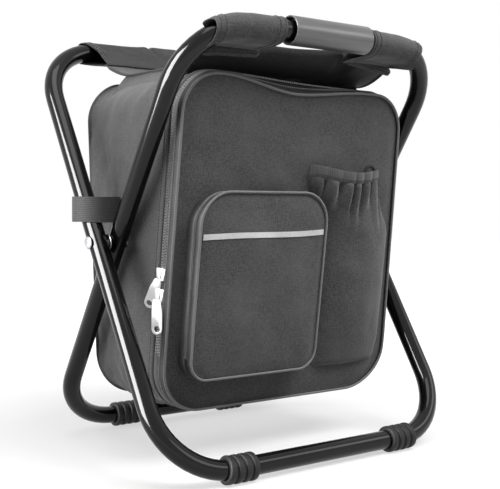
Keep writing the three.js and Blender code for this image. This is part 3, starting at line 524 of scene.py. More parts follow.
# mm, left and right: the ends of each front sleeve, and the height and reach of the seam under it
frontEnds = {-1: (57, 134), 1: (54, 127)}
frontSeam = {-1: (404, 125), 1: (408, 120)}
curlSteps = ((3.2, -57, 20), (2.6, -20, 60), (3.5, 22, 26))     # mm: height, start and length of each rise


# cloth that is sewn to both loops is given no body: its place is baked into its mesh
def joinLoops(*pieces):
    for piece in pieces:
        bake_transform(piece)


def seatLine(y):
    share = max(0, (abs(y) - seat["flatHalf"]) / (seat["seam"] - seat["flatHalf"]))
    return seat["middle"] + seat["rise"] * share * share


def seatFront(x):
    return -seat["seam"] - seat["tongue"] * (1 - smooth((abs(x) - seat["cutStart"]) / seat["cutBlend"]))


# the cut-out's edge curls up towards the right
def seatCurl(x):
    curl = sum(high * mm * ease(x, start, long) for high, start, long in curlSteps)
    return curl * (1 - ease(x, 66, 10))


def seatPoint(u, v):
    x = lerp(-seat["halfWidth"], seat["halfWidth"], u)
    y = lerp(seatFront(x), seat["seam"] + seat["rearOver"], v)
    side = abs(2 * u - 1)
    z = seatLine(y) + cloud((x, y, 0), 60, 1.4) * math.sin(math.pi * v) ** 0.5
    z += seatCurl(x) * smooth((0.14 - v) / 0.14)
    draw = seat["drawIn"] if u < 0.5 else seat["drawInRight"]      # the free sides draw in
    x *= 1 - draw / seat["halfWidth"] * math.sin(math.pi * v) ** 0.7 * side
    if u > 0.5:
        z -= seat["rightSag"] * smooth((side - 0.6) / 0.4) * math.sin(math.pi * min(1, v * 2.6)) ** 2
    return Vector((x, y, z))


def makeSeat():
    bm = clothGrid(72, 72, seatPoint, (0, 0, 1), seat["wall"])
    bm.normal_update()
    for face in bm.faces:
        face.material_index = 1 if face.normal.z < -0.3 else 0
    return finishPiece(bm, "seatSling", ["seatCloth", "coatedBackAndShadeCloth"], None, ["seat_panel"])


# a flattened roll of cloth along a line
def rollCloth(bm, points, halfWide, halfTall):
    rings = []
    for i, p in enumerate(points):
        ahead = (points[min(i + 1, len(points) - 1)] - points[max(i - 1, 0)]).normalized()
        out = ahead.cross(Vector((0, 0, 1))).normalized()
        up = out.cross(ahead)
        near = min(i, len(points) - 1 - i)
        close = min(1, 0.35 + 0.3 * near)      # its ends are rounded
        ring = []
        for t in spaced(0, 2 * math.pi, 14)[:-1]:
            wide = abs(math.cos(t)) ** 0.8 * math.copysign(halfWide, math.cos(t))
            ring.append(p + (out * wide + up * halfTall * math.sin(t)) * close)
        rings.append(ring)
    closeEnds(bm, *loft(bm, rings))


# hems along the free sides, a rolled edge round the hand cut-out and rolled seams under the front sleeves
def makeSeatHems():
    bm = bmesh.new()
    for u in (0.0, 1.0):
        side = [seatPoint(u, v) - Vector((0, 0, seat["wall"] / 2)) for v in spaced(0.02, 0.98, 64)]
        rollCloth(bm, side, 2.8 * mm, 1.5 * mm)
    cut = []
    for x in spaced(-56 * mm, 70 * mm, 62):
        cut.append(Vector((x, seatFront(x) - 0.4 * mm, seatLine(seatFront(x)) + seatCurl(x) - seat["wall"])))
    rollCloth(bm, cut, 1.5 * mm, 3.3 * mm)
    # the side hems and the cut-out's roll, made first, take the darker copy of the seat cloth: painted shade
    shaded = len(bm.faces)
    stitches = bmesh.new()
    for side in (-1, 1):
        seam = []
        for t in spaced(0, 1, 40):
            high, out = frontSeam[side]
            z = lerp(high, 400, t) * mm + ripple((t * 0.1, side, 0), 22, 1.1, 51)
            seam.append(Vector((side * lerp(56, out, t) * mm, -95.2 * mm - 1.2 * mm * t, z)))
        rollCloth(bm, seam, 1.8 * mm, 5.0 * mm)
        for rise in (-1.7 * mm, 1.5 * mm):
            row = [p + Vector((0, -1.75 * mm, rise)) for p in seam[2:-2]]
            stitchRow(stitches, row, [Vector((0, -1, 0))])
    secondLook(bm, shaded)
    turnOut(bm)
    hems = finishPiece(bm, "seatHems", ["shadedSeatCloth", "seatCloth"])
    return hems, finishPiece(stitches, "seatStitches", ["thread"])


# section of a sleeve: a loose loop round the rail that runs back to its seam
# and bridges the tube's bend stiffly
def sleeveSection(loop, x, sign, loose, count=56):
    rail = Vector((loop["top"].y, loop["top"].z))
    inward = Vector((loop["down"].y, loop["down"].z))
    past = max(0, abs(x) - loop["half"])
    over, under = tube["bend"] + tube["radius"], tube["bend"] - tube["radius"]
    upper = 0.65 * (over - math.sqrt(over ** 2 - past ** 2))
    lower = 0.62 * (under - math.sqrt(under ** 2 - past ** 2)) + loose
    tip = Vector((sign * sleeve["tipOut"], sleeve["tipHigh"]))
    discs = [(rail + inward * drop, sleeve["radius"]) for drop in (upper, lower)] + [(tip, sleeve["tip"])]
    hull = []
    for i in range(240):
        t = 2 * math.pi * i / 240
        way = Vector((-sign * math.cos(t), math.sin(t)))
        hull.append(max((c + way * r for c, r in discs), key=lambda p: p.dot(way)))
    start = min(range(len(hull)), key=lambda i: (hull[i] - tip).length)
    return resample(hull[start:] + hull[:start], count, closed=True)


def makeSleeve(name, loop, sign, fromX, toX, slant, loose, node, seed, puff=None, looks="seatCloth"):
    steps = max(24, int(abs(toX - fromX) / (3 * mm)))
    railY = abs(loop["top"].y)
    rings = []
    for i in range(steps + 1):
        x = lerp(fromX, toX, i / steps)
        section = sleeveSection(loop, x, sign, loose)
        low, high = min(p.y for p in section), max(p.y for p in section)
        middle = sum(section, Vector((0, 0))) / len(section)
        ends = 2 * i / steps - 1
        cut, flare, rake = slant[0] if ends < 0 else slant[1]
        edge = min(abs(x - fromX), abs(x - toX))
        lift = sleeve["hemLift"] * (edge < sleeve["hem"])     # the turned hem at each end is thicker
        ring = []
        for p in section:
            # an end is cut on a slant, long behind the rail and short at the seam
            back = smooth((railY + 4 * mm - abs(p.x)) / (26 * mm))
            reach = abs(ends) ** 3 * 4 * back * (1 - back)
            top = 1 - smooth((high - p.y) / (high - low))
            shift = abs(ends) ** 3 * (cut * back + rake * (1 - top)) + reach * flare
            sag = loose * back * (1 - back) * (1 - top)
            push = cloud((x, p.x, p.y), 26, 0.8, seed) + lift
            if puff:
                push += puff(x, p.y) * top
            flat = p + (p - middle).normalized() * push
            ring.append(Vector((x + shift, flat.x, flat.y - sag - 0.5 * reach * abs(flare) * top)))
        rings.append(ring)
    bm = skin(rings)
    thicken(bm, sleeve["wall"])
    return finishPiece(bm, name, [looks], None, [node]), rings


def stitchRings(bm, rings, places, part=(0.0, 1.0), lift=0.3 * mm):
    count = len(rings[0])
    for share in places:
        at = share * (len(rings) - 1)
        i = min(int(at), len(rings) - 2)
        line = [rings[i][k].lerp(rings[i + 1][k], at - i) for k in range(count)]
        middle = sum(line, Vector()) / count
        outs = [(p - middle).normalized() for p in line]
        span = slice(int(part[0] * count), int(part[1] * count))
        stitchRow(bm, [p + o * lift for p, o in zip(line, outs)][span], outs[span])


# the rear sleeve stands off the rail in its middle, with a pinched fold across it
def rearPuff(x, z):
    stand = 3.6 * mm * ease(x, -80, 40) * ease(-x, -90, 40)
    pinch = (x + 43 * mm + 0.5 * (z - 430 * mm)) / (3 * mm)
    return stand - 3.4 * mm * math.exp(-pinch * pinch)


def makeSeatGroup():
    sling = makeSeat()
    hems, seamStitches = makeSeatHems()
    joinLoops(sling, hems, seamStitches)
    stitches = bmesh.new()
    for word, side in bothSides:
        inner, outer = frontEnds[side]
        slant = ((0, 0, 0), (-side * 7 * mm, side * 9 * mm, -8 * mm if side > 0 else 0))
        piece, rings = makeSleeve("frontSleeve" + word, innerLoop, -1, side * inner * mm, side * outer * mm,
                                  slant, 3 * mm, "front_sleeve_" + word.lower(), side)
        stitchRings(stitches, rings, (0.035, 0.115, 0.88, 0.945), (0.08, 0.95))
        joinLoops(piece)
    frontStitches = finishPiece(stitches, "frontSleeveStitches", ["thread"])
    slant = ((12 * mm, 0, 0), (-12 * mm, 0, 0))
    # the rear sleeve takes the darker copy of the seat cloth: painted shade
    piece, rings = makeSleeve("rearSleeve", outerLoop, 1, -131 * mm, 131 * mm, slant, 0.8 * mm, "rear_sleeve",
                              4, rearPuff, "shadedSeatCloth")
    stitches = bmesh.new()
    stitchRings(stitches, rings, (0.015, 0.034, 0.966, 0.985), (0.05, 0.95))
    joinLoops(frontStitches, piece, finishPiece(stitches, "rearSleeveStitches", ["thread"]))


makeSeatGroup()
print("seat done")

# bag outline as seen from the front; its top edge is a wave with a crest on the left
bag = {"half": 140 * mm, "bottom": 54 * mm, "top": 380 * mm, "dip": 13 * mm, "shoulderDrop": 6 * mm,
       "crestX": -97 * mm, "dipX": -5 * mm, "shoulderX": 88 * mm, "topCorner": 38 * mm, "bottomCorner": 44 * mm,
       "frontReach": 56.6 * mm, "frontLean": 0.1216, "rearReach": 78.5 * mm, "rearLean": 0.08,
       "rearRound": 11 * mm, "rightSwell": 9 * mm, "nx": 60, "nz": 68}
pocket = {"left": -125 * mm, "right": 29 * mm, "bottom": 88 * mm, "top": 269 * mm, "topCorner": 32 * mm,
          "bottomCorner": 20 * mm, "depth": 22 * mm, "nx": 44, "nz": 52}


def frontY(z):
    return -bag["frontReach"] - bag["frontLean"] * (z - bag["bottom"])


def rearY(z):
    return bag["rearReach"] + bag["rearLean"] * (z - bag["bottom"])


def bagWave(x):
    low, crest, dip, shoulder = bag["top"] - bag["dip"], bag["crestX"], bag["dipX"], bag["shoulderX"]
    if x < dip:
        return lerp(bag["top"], low, smooth((crest - x) / (crest - dip)))
    return lerp(low, bag["top"] - bag["shoulderDrop"], smooth((x - dip) / (shoulder - dip)))


def arc(cx, cz, radius, fromTurn, toTurn, steps=14):
    turns = [math.radians(t) for t in spaced(fromTurn, toTurn, steps)]
    return [Vector((cx + radius * math.cos(t), cz + radius * math.sin(t))) for t in turns]


# four sides of a rounded outline, each with even points: left and right upwards, bottom and top to the right
def fourSides(left, right, bottom, topLeft, topRight, lowRound, highRound, topLine, nx, nz):
    bl = (left + lowRound, bottom + lowRound, lowRound)
    br = (right - lowRound, bottom + lowRound, lowRound)
    tl = (left + highRound, topLeft - highRound, highRound)
    tr = (right - highRound, topRight - highRound, highRound)
    leftLine = arc(*bl, 225, 180) + arc(*tl, 180, 135)
    rightLine = arc(*br, 315, 360) + arc(*tr, 0, 45)
    bottomLine = arc(*bl, 225, 270) + arc(*br, 270, 315)
    topMiddle = [Vector((x, topLine(x))) for x in spaced(tl[0], tr[0], 40)[1:-1]] if topLine else []
    topSide = arc(*tl, 135, 90) + topMiddle + arc(*tr, 90, 45)
    return {"left": resample(leftLine, nz), "right": resample(rightLine, nz),
            "bottom": resample(bottomLine, nx), "top": resample(topSide, nx), "nx": nx, "nz": nz}


# the loaded right side swells towards its lower corner
def swellRight(p, amount=1.0):
    low = min(1, max(0, (345 * mm - p.y) / (235 * mm)))
    reach = max(0, (p.x - 60 * mm) / (80 * mm))
    return Vector((p.x + amount * bag["rightSwell"] * low * reach ** 2.5, p.y))


def bagSides(inset=0.0, coarse=1, swell=1.0):
    half, top = bag["half"] - inset, bag["top"] - inset
    sides = fourSides(-half, half, bag["bottom"] + inset, top, top - bag["shoulderDrop"],
                      max(bag["bottomCorner"] - inset, 6 * mm), max(bag["topCorner"] - inset, 6 * mm),
                      lambda x: bagWave(x) - inset, bag["nx"] // coarse, bag["nz"] // coarse)
    for key in ("left", "right", "bottom", "top"):
        sides[key] = [swellRight(p, swell) for p in sides[key]]
    return sides


def pocketSides(inset=0.0):
    top = pocket["top"] - inset
    return fourSides(pocket["left"] + inset, pocket["right"] - inset, pocket["bottom"] + inset, top, top,
                     max(pocket["bottomCorner"] - inset, 4 * mm), max(pocket["topCorner"] - inset, 4 * mm),
                     None, pocket["nx"], pocket["nz"])


# once round: up the left, along the top, down the right and back along the bottom
def ringOf(sides):
    return (sides["left"][:-1] + sides["top"][:-1] + sides["right"][:0:-1] + sides["bottom"][:0:-1])


def outsOf(ring):
    outs = []
    for i in range(len(ring)):
        ahead = ring[(i + 1) % len(ring)] - ring[i - 1]
        outs.append(Vector((-ahead.y, ahead.x)).normalized())
    return outs


# behind the front edge the bag's top is flatter: it rises out of the front's dip
def topLift(p, depth):
    along = smooth((p.x - bag["crestX"]) / (bag["shoulderX"] - bag["crestX"]))
    line = bag["top"] + 4.5 * mm - 5.5 * mm * along
    rise = max(0, line - bagWave(p.x)) * ease(p.x + bag["half"], 0, 40) * ease(bag["half"] - p.x, 0, 40)
    return 0.9 * rise * ease(depth, 2, 14) * ease(p.y, 335, 20)


def onFront(p, depth):
    return Vector((p.x, frontY(p.y) + depth, p.y + topLift(p, depth)))


def onRear(p, depth):
    return Vector((p.x, rearY(p.y) - depth, p.y + topLift(p, bag["half"])))


# a grid stretched between the four sides, put in place by a function of its flat point
def stretchPatch(bm, sides, place):
    nx, nz = sides["nx"], sides["nz"]
    made = bmesh.ops.create_grid(bm, x_segments=nx, y_segments=nz, size=0.5)["verts"]
    low, high = sides["bottom"], sides["top"]
    for vert in made:
        u, v = vert.co.x + 0.5, vert.co.y + 0.5
        i, j = round(u * nx), round(v * nz)
        rows = low[i].lerp(high[i], v) + sides["left"][j].lerp(sides["right"][j], u)
        corners = low[0].lerp(low[-1], u).lerp(high[0].lerp(high[-1], u), v)
        vert.co = place(rows - corners)


# rings round an outline on the front: a profile of (out, back) in mm, and a wave (size, depth, seed) in it
def frontRings(outline, outs, profile, wave=None):
    rings = []
    for offset, depth in profile:
        ring = []
        for p, o in zip(outline, outs):
            stray = ripple((p.x, depth * mm, p.y), *wave) if wave else 0
            ring.append(onFront(p + o * (offset * mm + stray), depth * mm))
        rings.append(ring)
    return rings


def edgeShare(p, sides):
    return min(min((p - q).length for q in sides[k]) for k in ("left", "right", "top", "bottom"))


# door: puffed front cloth, a gusset that flares back to the zip, and a silver lining behind
doorPuff = {"back": 0.6 * mm, "roll": 2.6 * mm, "rollWide": 16, "crown": 3.4 * mm, "crownWide": 60,
            "folds": ((55, 2.2, 2), (24, 0.9, 6)), "calm": 25, "wave": (30, 0.5, 8),
            "wall": ((0.5, 2.2), (0.9, 4), (1.1, 6), (1.2, 7.8), (1.0, 9), (0.2, 9.8), (-0.8, 10), (-2.2, 9.6))}


# puffed cloth rolls back at its edge, crowns in its middle and has folds away from the edge
def puffed(p, sides, puff, lift=0.0):
    reach = edgeShare(p, sides)
    roll = puff["roll"] * (1 - ease(reach, 0, puff["rollWide"]))
    crown = puff["crown"] * ease(reach, 0, puff["crownWide"])
    folds = sum(cloud((p.x, far, p.y), *fold) for far, fold in zip((0, 5), puff["folds"]))
    return onFront(p, puff["back"] - lift + roll - crown + folds * ease(reach, 0, puff["calm"]))


def puffedPanel(name, sides, outline, puff, body, node):
    bm = bmesh.new()
    stretchPatch(bm, sides, lambda p: puffed(p, sides, puff))
    flat = len(bm.faces)
    edge = [puffed(p, sides, puff) for p in ringOf(sides)]
    loft(bm, [edge] + frontRings(outline, outsOf(outline), puff["wall"], puff["wave"]))
    # the wall round the edge takes the near-black cloth: painted shade on the gusset
    secondLook(bm, flat)
    turnOut(bm)
    turnTowards(bm, (0, -1, 0))
    return finishPiece(bm, name, ["bagCloth", "coatedBackAndShadeCloth"], body, [node])


def makeDoor():
    front = puffedPanel("doorFront", bagSides(1.2 * mm), ringOf(bagSides()), doorPuff, "door", "door_panel")

    inner = bagSides(2.2 * mm, 2)
    bm = bmesh.new()
    stretchPatch(bm, inner, lambda p: onFront(p, 9 * mm - 2 * mm * ease(edgeShare(p, inner), 0, 20)
                                              + cloud((p.x, 0, p.y), 40, 0.8, 3)))
    turnTowards(bm, (0, 1, 0))
    thicken(bm, 1 * mm)
    lining = finishPiece(bm, "doorLining", ["lining"], "door", ["door_liner", "door_insulation"])


deepWay = Vector((0, 1, 0))


# a band along stations, each a centre and the way out there
def strip(bm, stations, section, closed):
    rings = [[centre + out * a + deepWay * b for a, b in section] for centre, out in stations]
    ends = loft(bm, rings, loop=closed)
    if not closed:
        closeEnds(bm, *ends)


def tapeSection(half, near, far):
    return [(a * mm, d * mm) for a, d in ((-half, near), (half, near), (half, far), (-half, far))]


def station(p, o, offset, depth):
    out = Vector((o.x, -bag["frontLean"] * o.y, o.y)).normalized()
    return onFront(Vector((p.x + o.x * offset, p.y + o.y * offset)), depth), out


def ringStations(sides, offset, depth):
    ring = ringOf(sides)
    return [station(p, o, offset, depth) for p, o in zip(ring, outsOf(ring))]


# stations of a zip in order: the ring starts low on the left, so points above the level follow one another
def zipStations(sides, offset, depth, level, count):
    ring = ringOf(sides)
    outs = outsOf(ring)
    start = next(i for i, p in enumerate(ring) if p.y > level)
    ring = ring[start:] + ring[:start]
    outs = outs[start:] + outs[:start]
    last = next(i for i, p in enumerate(ring) if p.y <= level)
    line = resample([Vector((p.x, p.y, 0)) for p in ring[:last]], count)
    turns = resample([Vector((o.x, o.y, 0)) for o in outs[:last]], count)
    return [station(p, o.normalized(), offset, depth) for p, o in zip(line, turns)]


# interlocking teeth: small blocks along the zip, each row set half a pitch from the other
def addTeeth(bm, stations, shift, size, lift):
    for i, (centre, out) in enumerate(stations[1:-1], 1):
        ahead = (stations[i + 1][0] - stations[i - 1][0]).normalized()
        deep = out.cross(ahead).normalized()
        if deep.y < 0:
            deep = -deep
        matrix = Matrix((ahead * size[0], deep * size[1], out * size[2])).transposed().to_4x4()
        matrix.translation = centre + deep * shift + out * lift
        cube = bmesh.ops.create_cube(bm, size=1, matrix=matrix)["verts"]
        for face in {f for v in cube for f in v.link_faces}:
            face.material_index = 1


def pipe(name, sides, offset, depth, radius, body, nodes):
    bm = bmesh.new()
    strip(bm, ringStations(sides, offset * mm, depth), roundSection(radius * mm), True)
    turnOut(bm)
    finishPiece(bm, name, ["piping"], body, nodes, 80)


# nylon teeth are 1.5 mm apart in life, drawn at 2.7 mm so that they show
zipLine = {"level": 108 * mm, "run": 790 * mm, "pitch": 2.7 * mm, "tooth": (1.5 * mm, 4.4 * mm, 1.5 * mm),
           "middle": 14.35 * mm, "rowShift": 2 * mm, "pocketRun": 500 * mm, "pocketPitch": 2.4 * mm,
           "pocketTooth": (1.5 * mm, 3 * mm, 1.1 * mm)}
hingeProfile = ((-1.2, 9), (0.2, 9.8), (1.0, 11.4), (1.4, 14.6), (1.2, 17.8), (0.4, 20), (-1.1, 21))
hingeHalf = 99 * mm     # the part that bends when the door opens


def makeDoorTrim():
    sides = bagSides()
    pipe("doorPiping", sides, 0.2, 0.8 * mm, 1.35, "door", ["door_piping"])
    pipe("doorEdgeCord", sides, 1.1, 8.7 * mm, 0.8, "door", ())

    count = int(zipLine["run"] / zipLine["pitch"])
    spots = zipStations(sides, 0, zipLine["middle"], zipLine["level"], count * 2)
    for name, body, node, near, far, row in (("zipDoorHalf", "door", "zip_tape_door", 9.4, 14.2, 0),
                                             ("zipBagHalf", "bag", "zip_tape_body", 14.5, 21.4, 1)):
        bm = bmesh.new()
        tape = zipStations(sides, -0.4 * mm, (near + far) / 2 * mm, zipLine["level"], count)
        strip(bm, tape, tapeSection(0.5, (near - far) / 2, (far - near) / 2), False)
        turnOut(bm)
        addTeeth(bm, spots[row::2], (2 * row - 1) * zipLine["rowShift"], zipLine["tooth"], 0.4 * mm)
        finishPiece(bm, name, ["zipTape", "zipTeeth"], body, [node])

    # cloth hinge along the bottom and its round corners, where the zip ends
    ring = ringOf(sides)
    outs = outsOf(ring)
    level = zipLine["level"] + 8 * mm
    start = next(i for i, p in enumerate(ring) if p.y <= level and p.x > 0)
    order = [i % len(ring) for i in range(start, start + len(ring))]
    stop = next(k for k, i in enumerate(order) if ring[i].y > level)
    straight = [i for i in order[:stop] if abs(ring[i].x) < hingeHalf]
    first = order.index(straight[0])
    last = order.index(straight[-1])
    for name, part in (("doorHinge", straight), ("doorHingeRight", order[:first + 1]),
                       ("doorHingeLeft", order[last:stop])):
        bm = bmesh.new()
        rows = frontRings([ring[i] for i in part], [outs[i] for i in part], hingeProfile)
        loft(bm, rows, ringClosed=False)
        turnTowards(bm, (0, 0, -1))
        thicken(bm, 0.8 * mm)
        if name == "doorHinge":
            piece = finishPiece(bm, name, ["bagCloth"], None, ["door_hinge_strip"])
            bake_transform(piece)
        else:
            finishPiece(bm, name, ["bagCloth"], "bag")


makeDoor()
makeDoorTrim()
print("door and main zip done")

# bag body: lofted from the zip back to a rounded rear, slack in its sides, with a folded lip beside the zip
bagLip = ((-2.2, 21.4), (-0.8, 20.8), (0.5, 20.8), (1.4, 21.4), (1.8, 22.6), (1.9, 28.4), (1.5, 29.4),
          (0.2, 29.8))
liningLip = ((4, 21.6), (1.6, 21), (0, 22.2))


def bagPush(p, o, share):
    swell = 4.2 * mm * math.sin(math.pi * min(1, share * 1.15)) ** 1.5
    side = smooth((abs(o.x) - 0.5) / 0.4)
    tall = ripple((p.x * 0.2, share * 0.1, p.y), 70, 1.6, 11)
    spot = (p.x, share * 0.17, p.y)
    slack = cloud(spot, 42, 2.6, 12) + cloud(spot, 20, 0.8, 13)
    line = p.y - 0.19 - 0.07 * share            # a slanting crease low on the side, pulled from the strap
    crease = -2.4 * mm * math.exp(-(line / 0.006) ** 2) + 1.4 * mm * math.exp(-((line - 0.014) / 0.009) ** 2)
    calm = smooth((share - 0.07) / 0.25)
    creased = side * smooth((share - 0.1) / 0.2) * smooth((0.85 - share) / 0.3)
    return (swell + tall + slack) * calm + crease * creased


def makeBag():
    outline = ringOf(bagSides())
    outs = outsOf(outline)
    rings = frontRings(outline, outs, bagLip)
    for share in spaced(0, 1, 44)[1:]:
        fade = 1 - smooth((share - 0.03) / 0.4)
        ring = []
        for p, o in zip(ringOf(bagSides(swell=fade)), outs):
            flat = p + o * (0.4 * mm + bagPush(p, o, share) * (1 - 0.75 * max(0, o.y) ** 2))
            depth = lerp(frontY(p.y) + 30 * mm, rearY(p.y) - bag["rearRound"], share)
            ring.append(Vector((flat.x, depth, flat.y + topLift(p, bag["half"]))))
        rings.append(ring)
    for share in spaced(0, 1, 12)[1:]:
        turn = math.pi / 2 * share
        spread = ringOf(bagSides(bag["rearRound"] * (1 - math.cos(turn)), swell=0))
        grow = (0.5 * mm + 2.5 * mm * (1 - share)) * (1 - share)
        depth = bag["rearRound"] * (1 - math.sin(turn))
        rings.append([onRear(p + o * grow, depth) for p, o in zip(spread, outs)])
    bm = bmesh.new()
    loft(bm, rings)
    rear = bagSides(bag["rearRound"], swell=0)

    def rearPlace(p):
        reach = edgeShare(p, rear)
        return onRear(p, -4 * mm * ease(reach, 0, 70) - cloud((p.x, 1, p.y), 60, 1.6, 14) * ease(reach, 0, 20))

    stretchPatch(bm, rear, rearPlace)
    turnOut(bm)
    turnTowards(bm, (0, 1, 0))
    body = finishPiece(bm, "bagBody", ["bagCloth"], "bag", ["bag_shell"])

    # silver lining: from the folded front edge to the rear wall
    inner = bagSides(6.2 * mm, 2, 0)
    bm = bmesh.new()
    flat = ringOf(inner)
    innerOuts = outsOf(flat)
    rings = frontRings(flat, innerOuts, liningLip)
    for share in spaced(0, 1, 14)[1:]:
        ring = []
        for p, o in zip(flat, innerOuts):
            depth = lerp(frontY(p.y) + 23.2 * mm, rearY(p.y) - 34 * mm, share)
            fold = cloud((p.x, share * 0.16, p.y), 34, 1.4, 16)
            ring.append(Vector((p.x, depth, p.y + topLift(p, bag["half"]))) - Vector((o.x, 0, o.y)) * fold)
        rings.append(ring)
    rings.append([onRear(p - o * 8 * mm, 14 * mm) for p, o in zip(flat, innerOuts)])
    wall = bagSides(34 * mm, 2, 0)
    rings.append([onRear(p, 8 * mm) for p in ringOf(wall)])
    loft(bm, rings)
    stretchPatch(bm, wall, lambda p: onRear(p, 8 * mm + cloud((p.x, 2, p.y), 50, 1.2, 17)
                                            * ease(edgeShare(p, wall), 0, 15)))
    turnOut(bm)
    turnTowards(bm, (0, -1, 0))
    lining = finishPiece(bm, "bagLining", ["lining"], "bag", ["bag_liner", "bag_insulation"])

    # a stitched line behind the lip
    bm = bmesh.new()
    row = [onFront(p + o * 2.1 * mm, 27 * mm) for p, o in zip(outline, outs)]
    stitchRow(bm, row, [Vector((o.x, 0, o.y)) for o in outs])
    finishPiece(bm, "bagStitches", ["thread"], "bag")


makeBag()
print("bag body done")

# front pocket: gusset, zip and a puffed panel with piping
pocketGusset = ((1.2, 3), (0.6, 1.2), (0.1, -1), (0.3, -4), (0.3, -7), (0, -9.4), (-0.5, -10), (-1.6, -10),
                (-1.8, -8), (-1.8, 2))
pocketPuff = {"back": -pocket["depth"] + 0.3 * mm, "roll": 1.6 * mm, "rollWide": 9, "crown": 3.2 * mm,
              "crownWide": 45, "folds": ((48, 1.8, 21), (22, 0.8, 24)), "calm": 18, "wave": (24, 0.4, 23),
              "wall": ((0.1, -19.4), (0.5, -17), (0.4, -14.6), (0.0, -13.2), (-0.8, -12.7), (-1.8, -13.2),
                       (-2.0, -15))}
reflector = {"left": -121.5 * mm, "right": 26 * mm, "low": 225.7 * mm, "width": 5.4 * mm, "climb": 4.2 * mm,
             "stray": 0.9 * mm, "wall": 0.5 * mm, "stand": 0.8 * mm}


def makePocket():
    sides = pocketSides()
    outline = ringOf(sides)
    bm = skin(frontRings(outline, outsOf(outline), pocketGusset, (24, 0.5, 22)))
    # the gusset is near-black cloth: painted shade
    finishPiece(bm, "pocketGusset", ["coatedBackAndShadeCloth"], "door", ["pocket_gusset"])

    level = zipLine["level"]
    count = int(zipLine["pocketRun"] / zipLine["pocketPitch"])
    bm = bmesh.new()
    strip(bm, zipStations(sides, -0.7 * mm, 0, level, count), tapeSection(0.4, -13.4, -9.6), False)
    turnOut(bm)
    addTeeth(bm, zipStations(sides, 0.1 * mm, -11.3 * mm, level, count), 0.0, zipLine["pocketTooth"], 0)
    finishPiece(bm, "pocketZip", ["zipTape", "zipTeeth"], "door", ["pocket_zip"])

    inner = pocketSides(1.0 * mm)
    panel = puffedPanel("pocketPanel", inner, outline, pocketPuff, "pocket_flap", "pocket_panel")
    pipe("pocketPiping", sides, 0.1, -pocket["depth"] + 0.6 * mm, 1.3, "pocket_flap", ["pocket_piping"])

    # reflective strip, sewn across a little unevenly
    def stripPlace(u, v):
        stray = reflector["stray"] * math.sin(u * 5.2 + 0.6)
        z = reflector["low"] + (v - 0.5) * reflector["width"] + reflector["climb"] * u + stray
        x = lerp(reflector["left"], reflector["right"], u)
        return puffed(Vector((x, z)), inner, pocketPuff, reflector["stand"])

    bm = clothGrid(70, 3, stripPlace, (0, -1, 0), reflector["wall"])
    finishPiece(bm, "reflectiveStrip", ["tape"], "pocket_flap", ["reflective_strip"])


makePocket()
print("front pocket done")

# bottle pocket: a gathered arch of cloth under an elastic hem, its mouth leaning over the front pocket
bottle = {"left": 38 * mm, "right": 132 * mm, "bottom": 80 * mm, "top": 288 * mm, "bulge": 23 * mm,
          "lean": 24 * mm, "draw": 24 * mm, "footDraw": 4.3 * mm, "hem": 11 * mm, "pleats": 6,
          "pleatDepth": 11 * mm, "drop": 4 * mm}


def bottlePoint(u, share, lift=0.0):
    drawn = smooth((share - 0.7) / 0.3)
    narrow = smooth((0.15 - share) / 0.15)
    bulge = bottle["bulge"] * (0.4 * smooth(share / 0.04) + 0.6 * min(1, 2.8 * share)) * (1 - 0.15 * drawn)
    left = bottle["left"] - drawn * bottle["lean"] + narrow * bottle["footDraw"]
    right = bottle["right"] - drawn * bottle["draw"] - narrow * bottle["footDraw"]
    arch = max(math.sin(math.pi * u), 0)
    z = lerp(bottle["bottom"], bottle["top"], share)
    sag = 3 * mm * (1 - u) - 6 * mm * arch ** 1.3 - bottle["drop"]      # the mouth hangs in its middle
    z += sag * smooth((share - 0.55) / 0.45)
    p = swellRight(Vector((lerp(left, right, u), z)))
    # upright pleats, counted along the mouth; some run further down than others
    mouth = bottle["right"] - bottle["draw"] - bottle["left"] + bottle["lean"]
    across = (p.x - bottle["left"] + bottle["lean"]) / mouth
    uneven = 0.022 * math.sin(11 * across) + 0.012 * math.sin(23 * across + 1)
    phase = bottle["pleats"] * math.pi * (across + uneven)
    pleat = abs(math.sin(phase)) ** 0.6 - 0.66
    begin = 0.76 + 0.08 * math.sin(17 * across + 0.8)
    gathered = smooth((share - begin) / (0.99 - begin)) * (1 - 0.8 * smooth((share - 0.985) / 0.015))
    out = bulge * arch ** 0.5 + pleat * bottle["pleatDepth"] * gathered * arch ** 0.3
    out += 5 * mm * smooth((share - 0.78) / 0.2)
    out += cloud((p.x, 3, z), 45, 2.4, 31) * arch ** 0.5 * smooth(share / 0.1) * (1 - 0.7 * drawn)
    return Vector((p.x, frontY(z) + 2.6 * mm - out - lift, z))


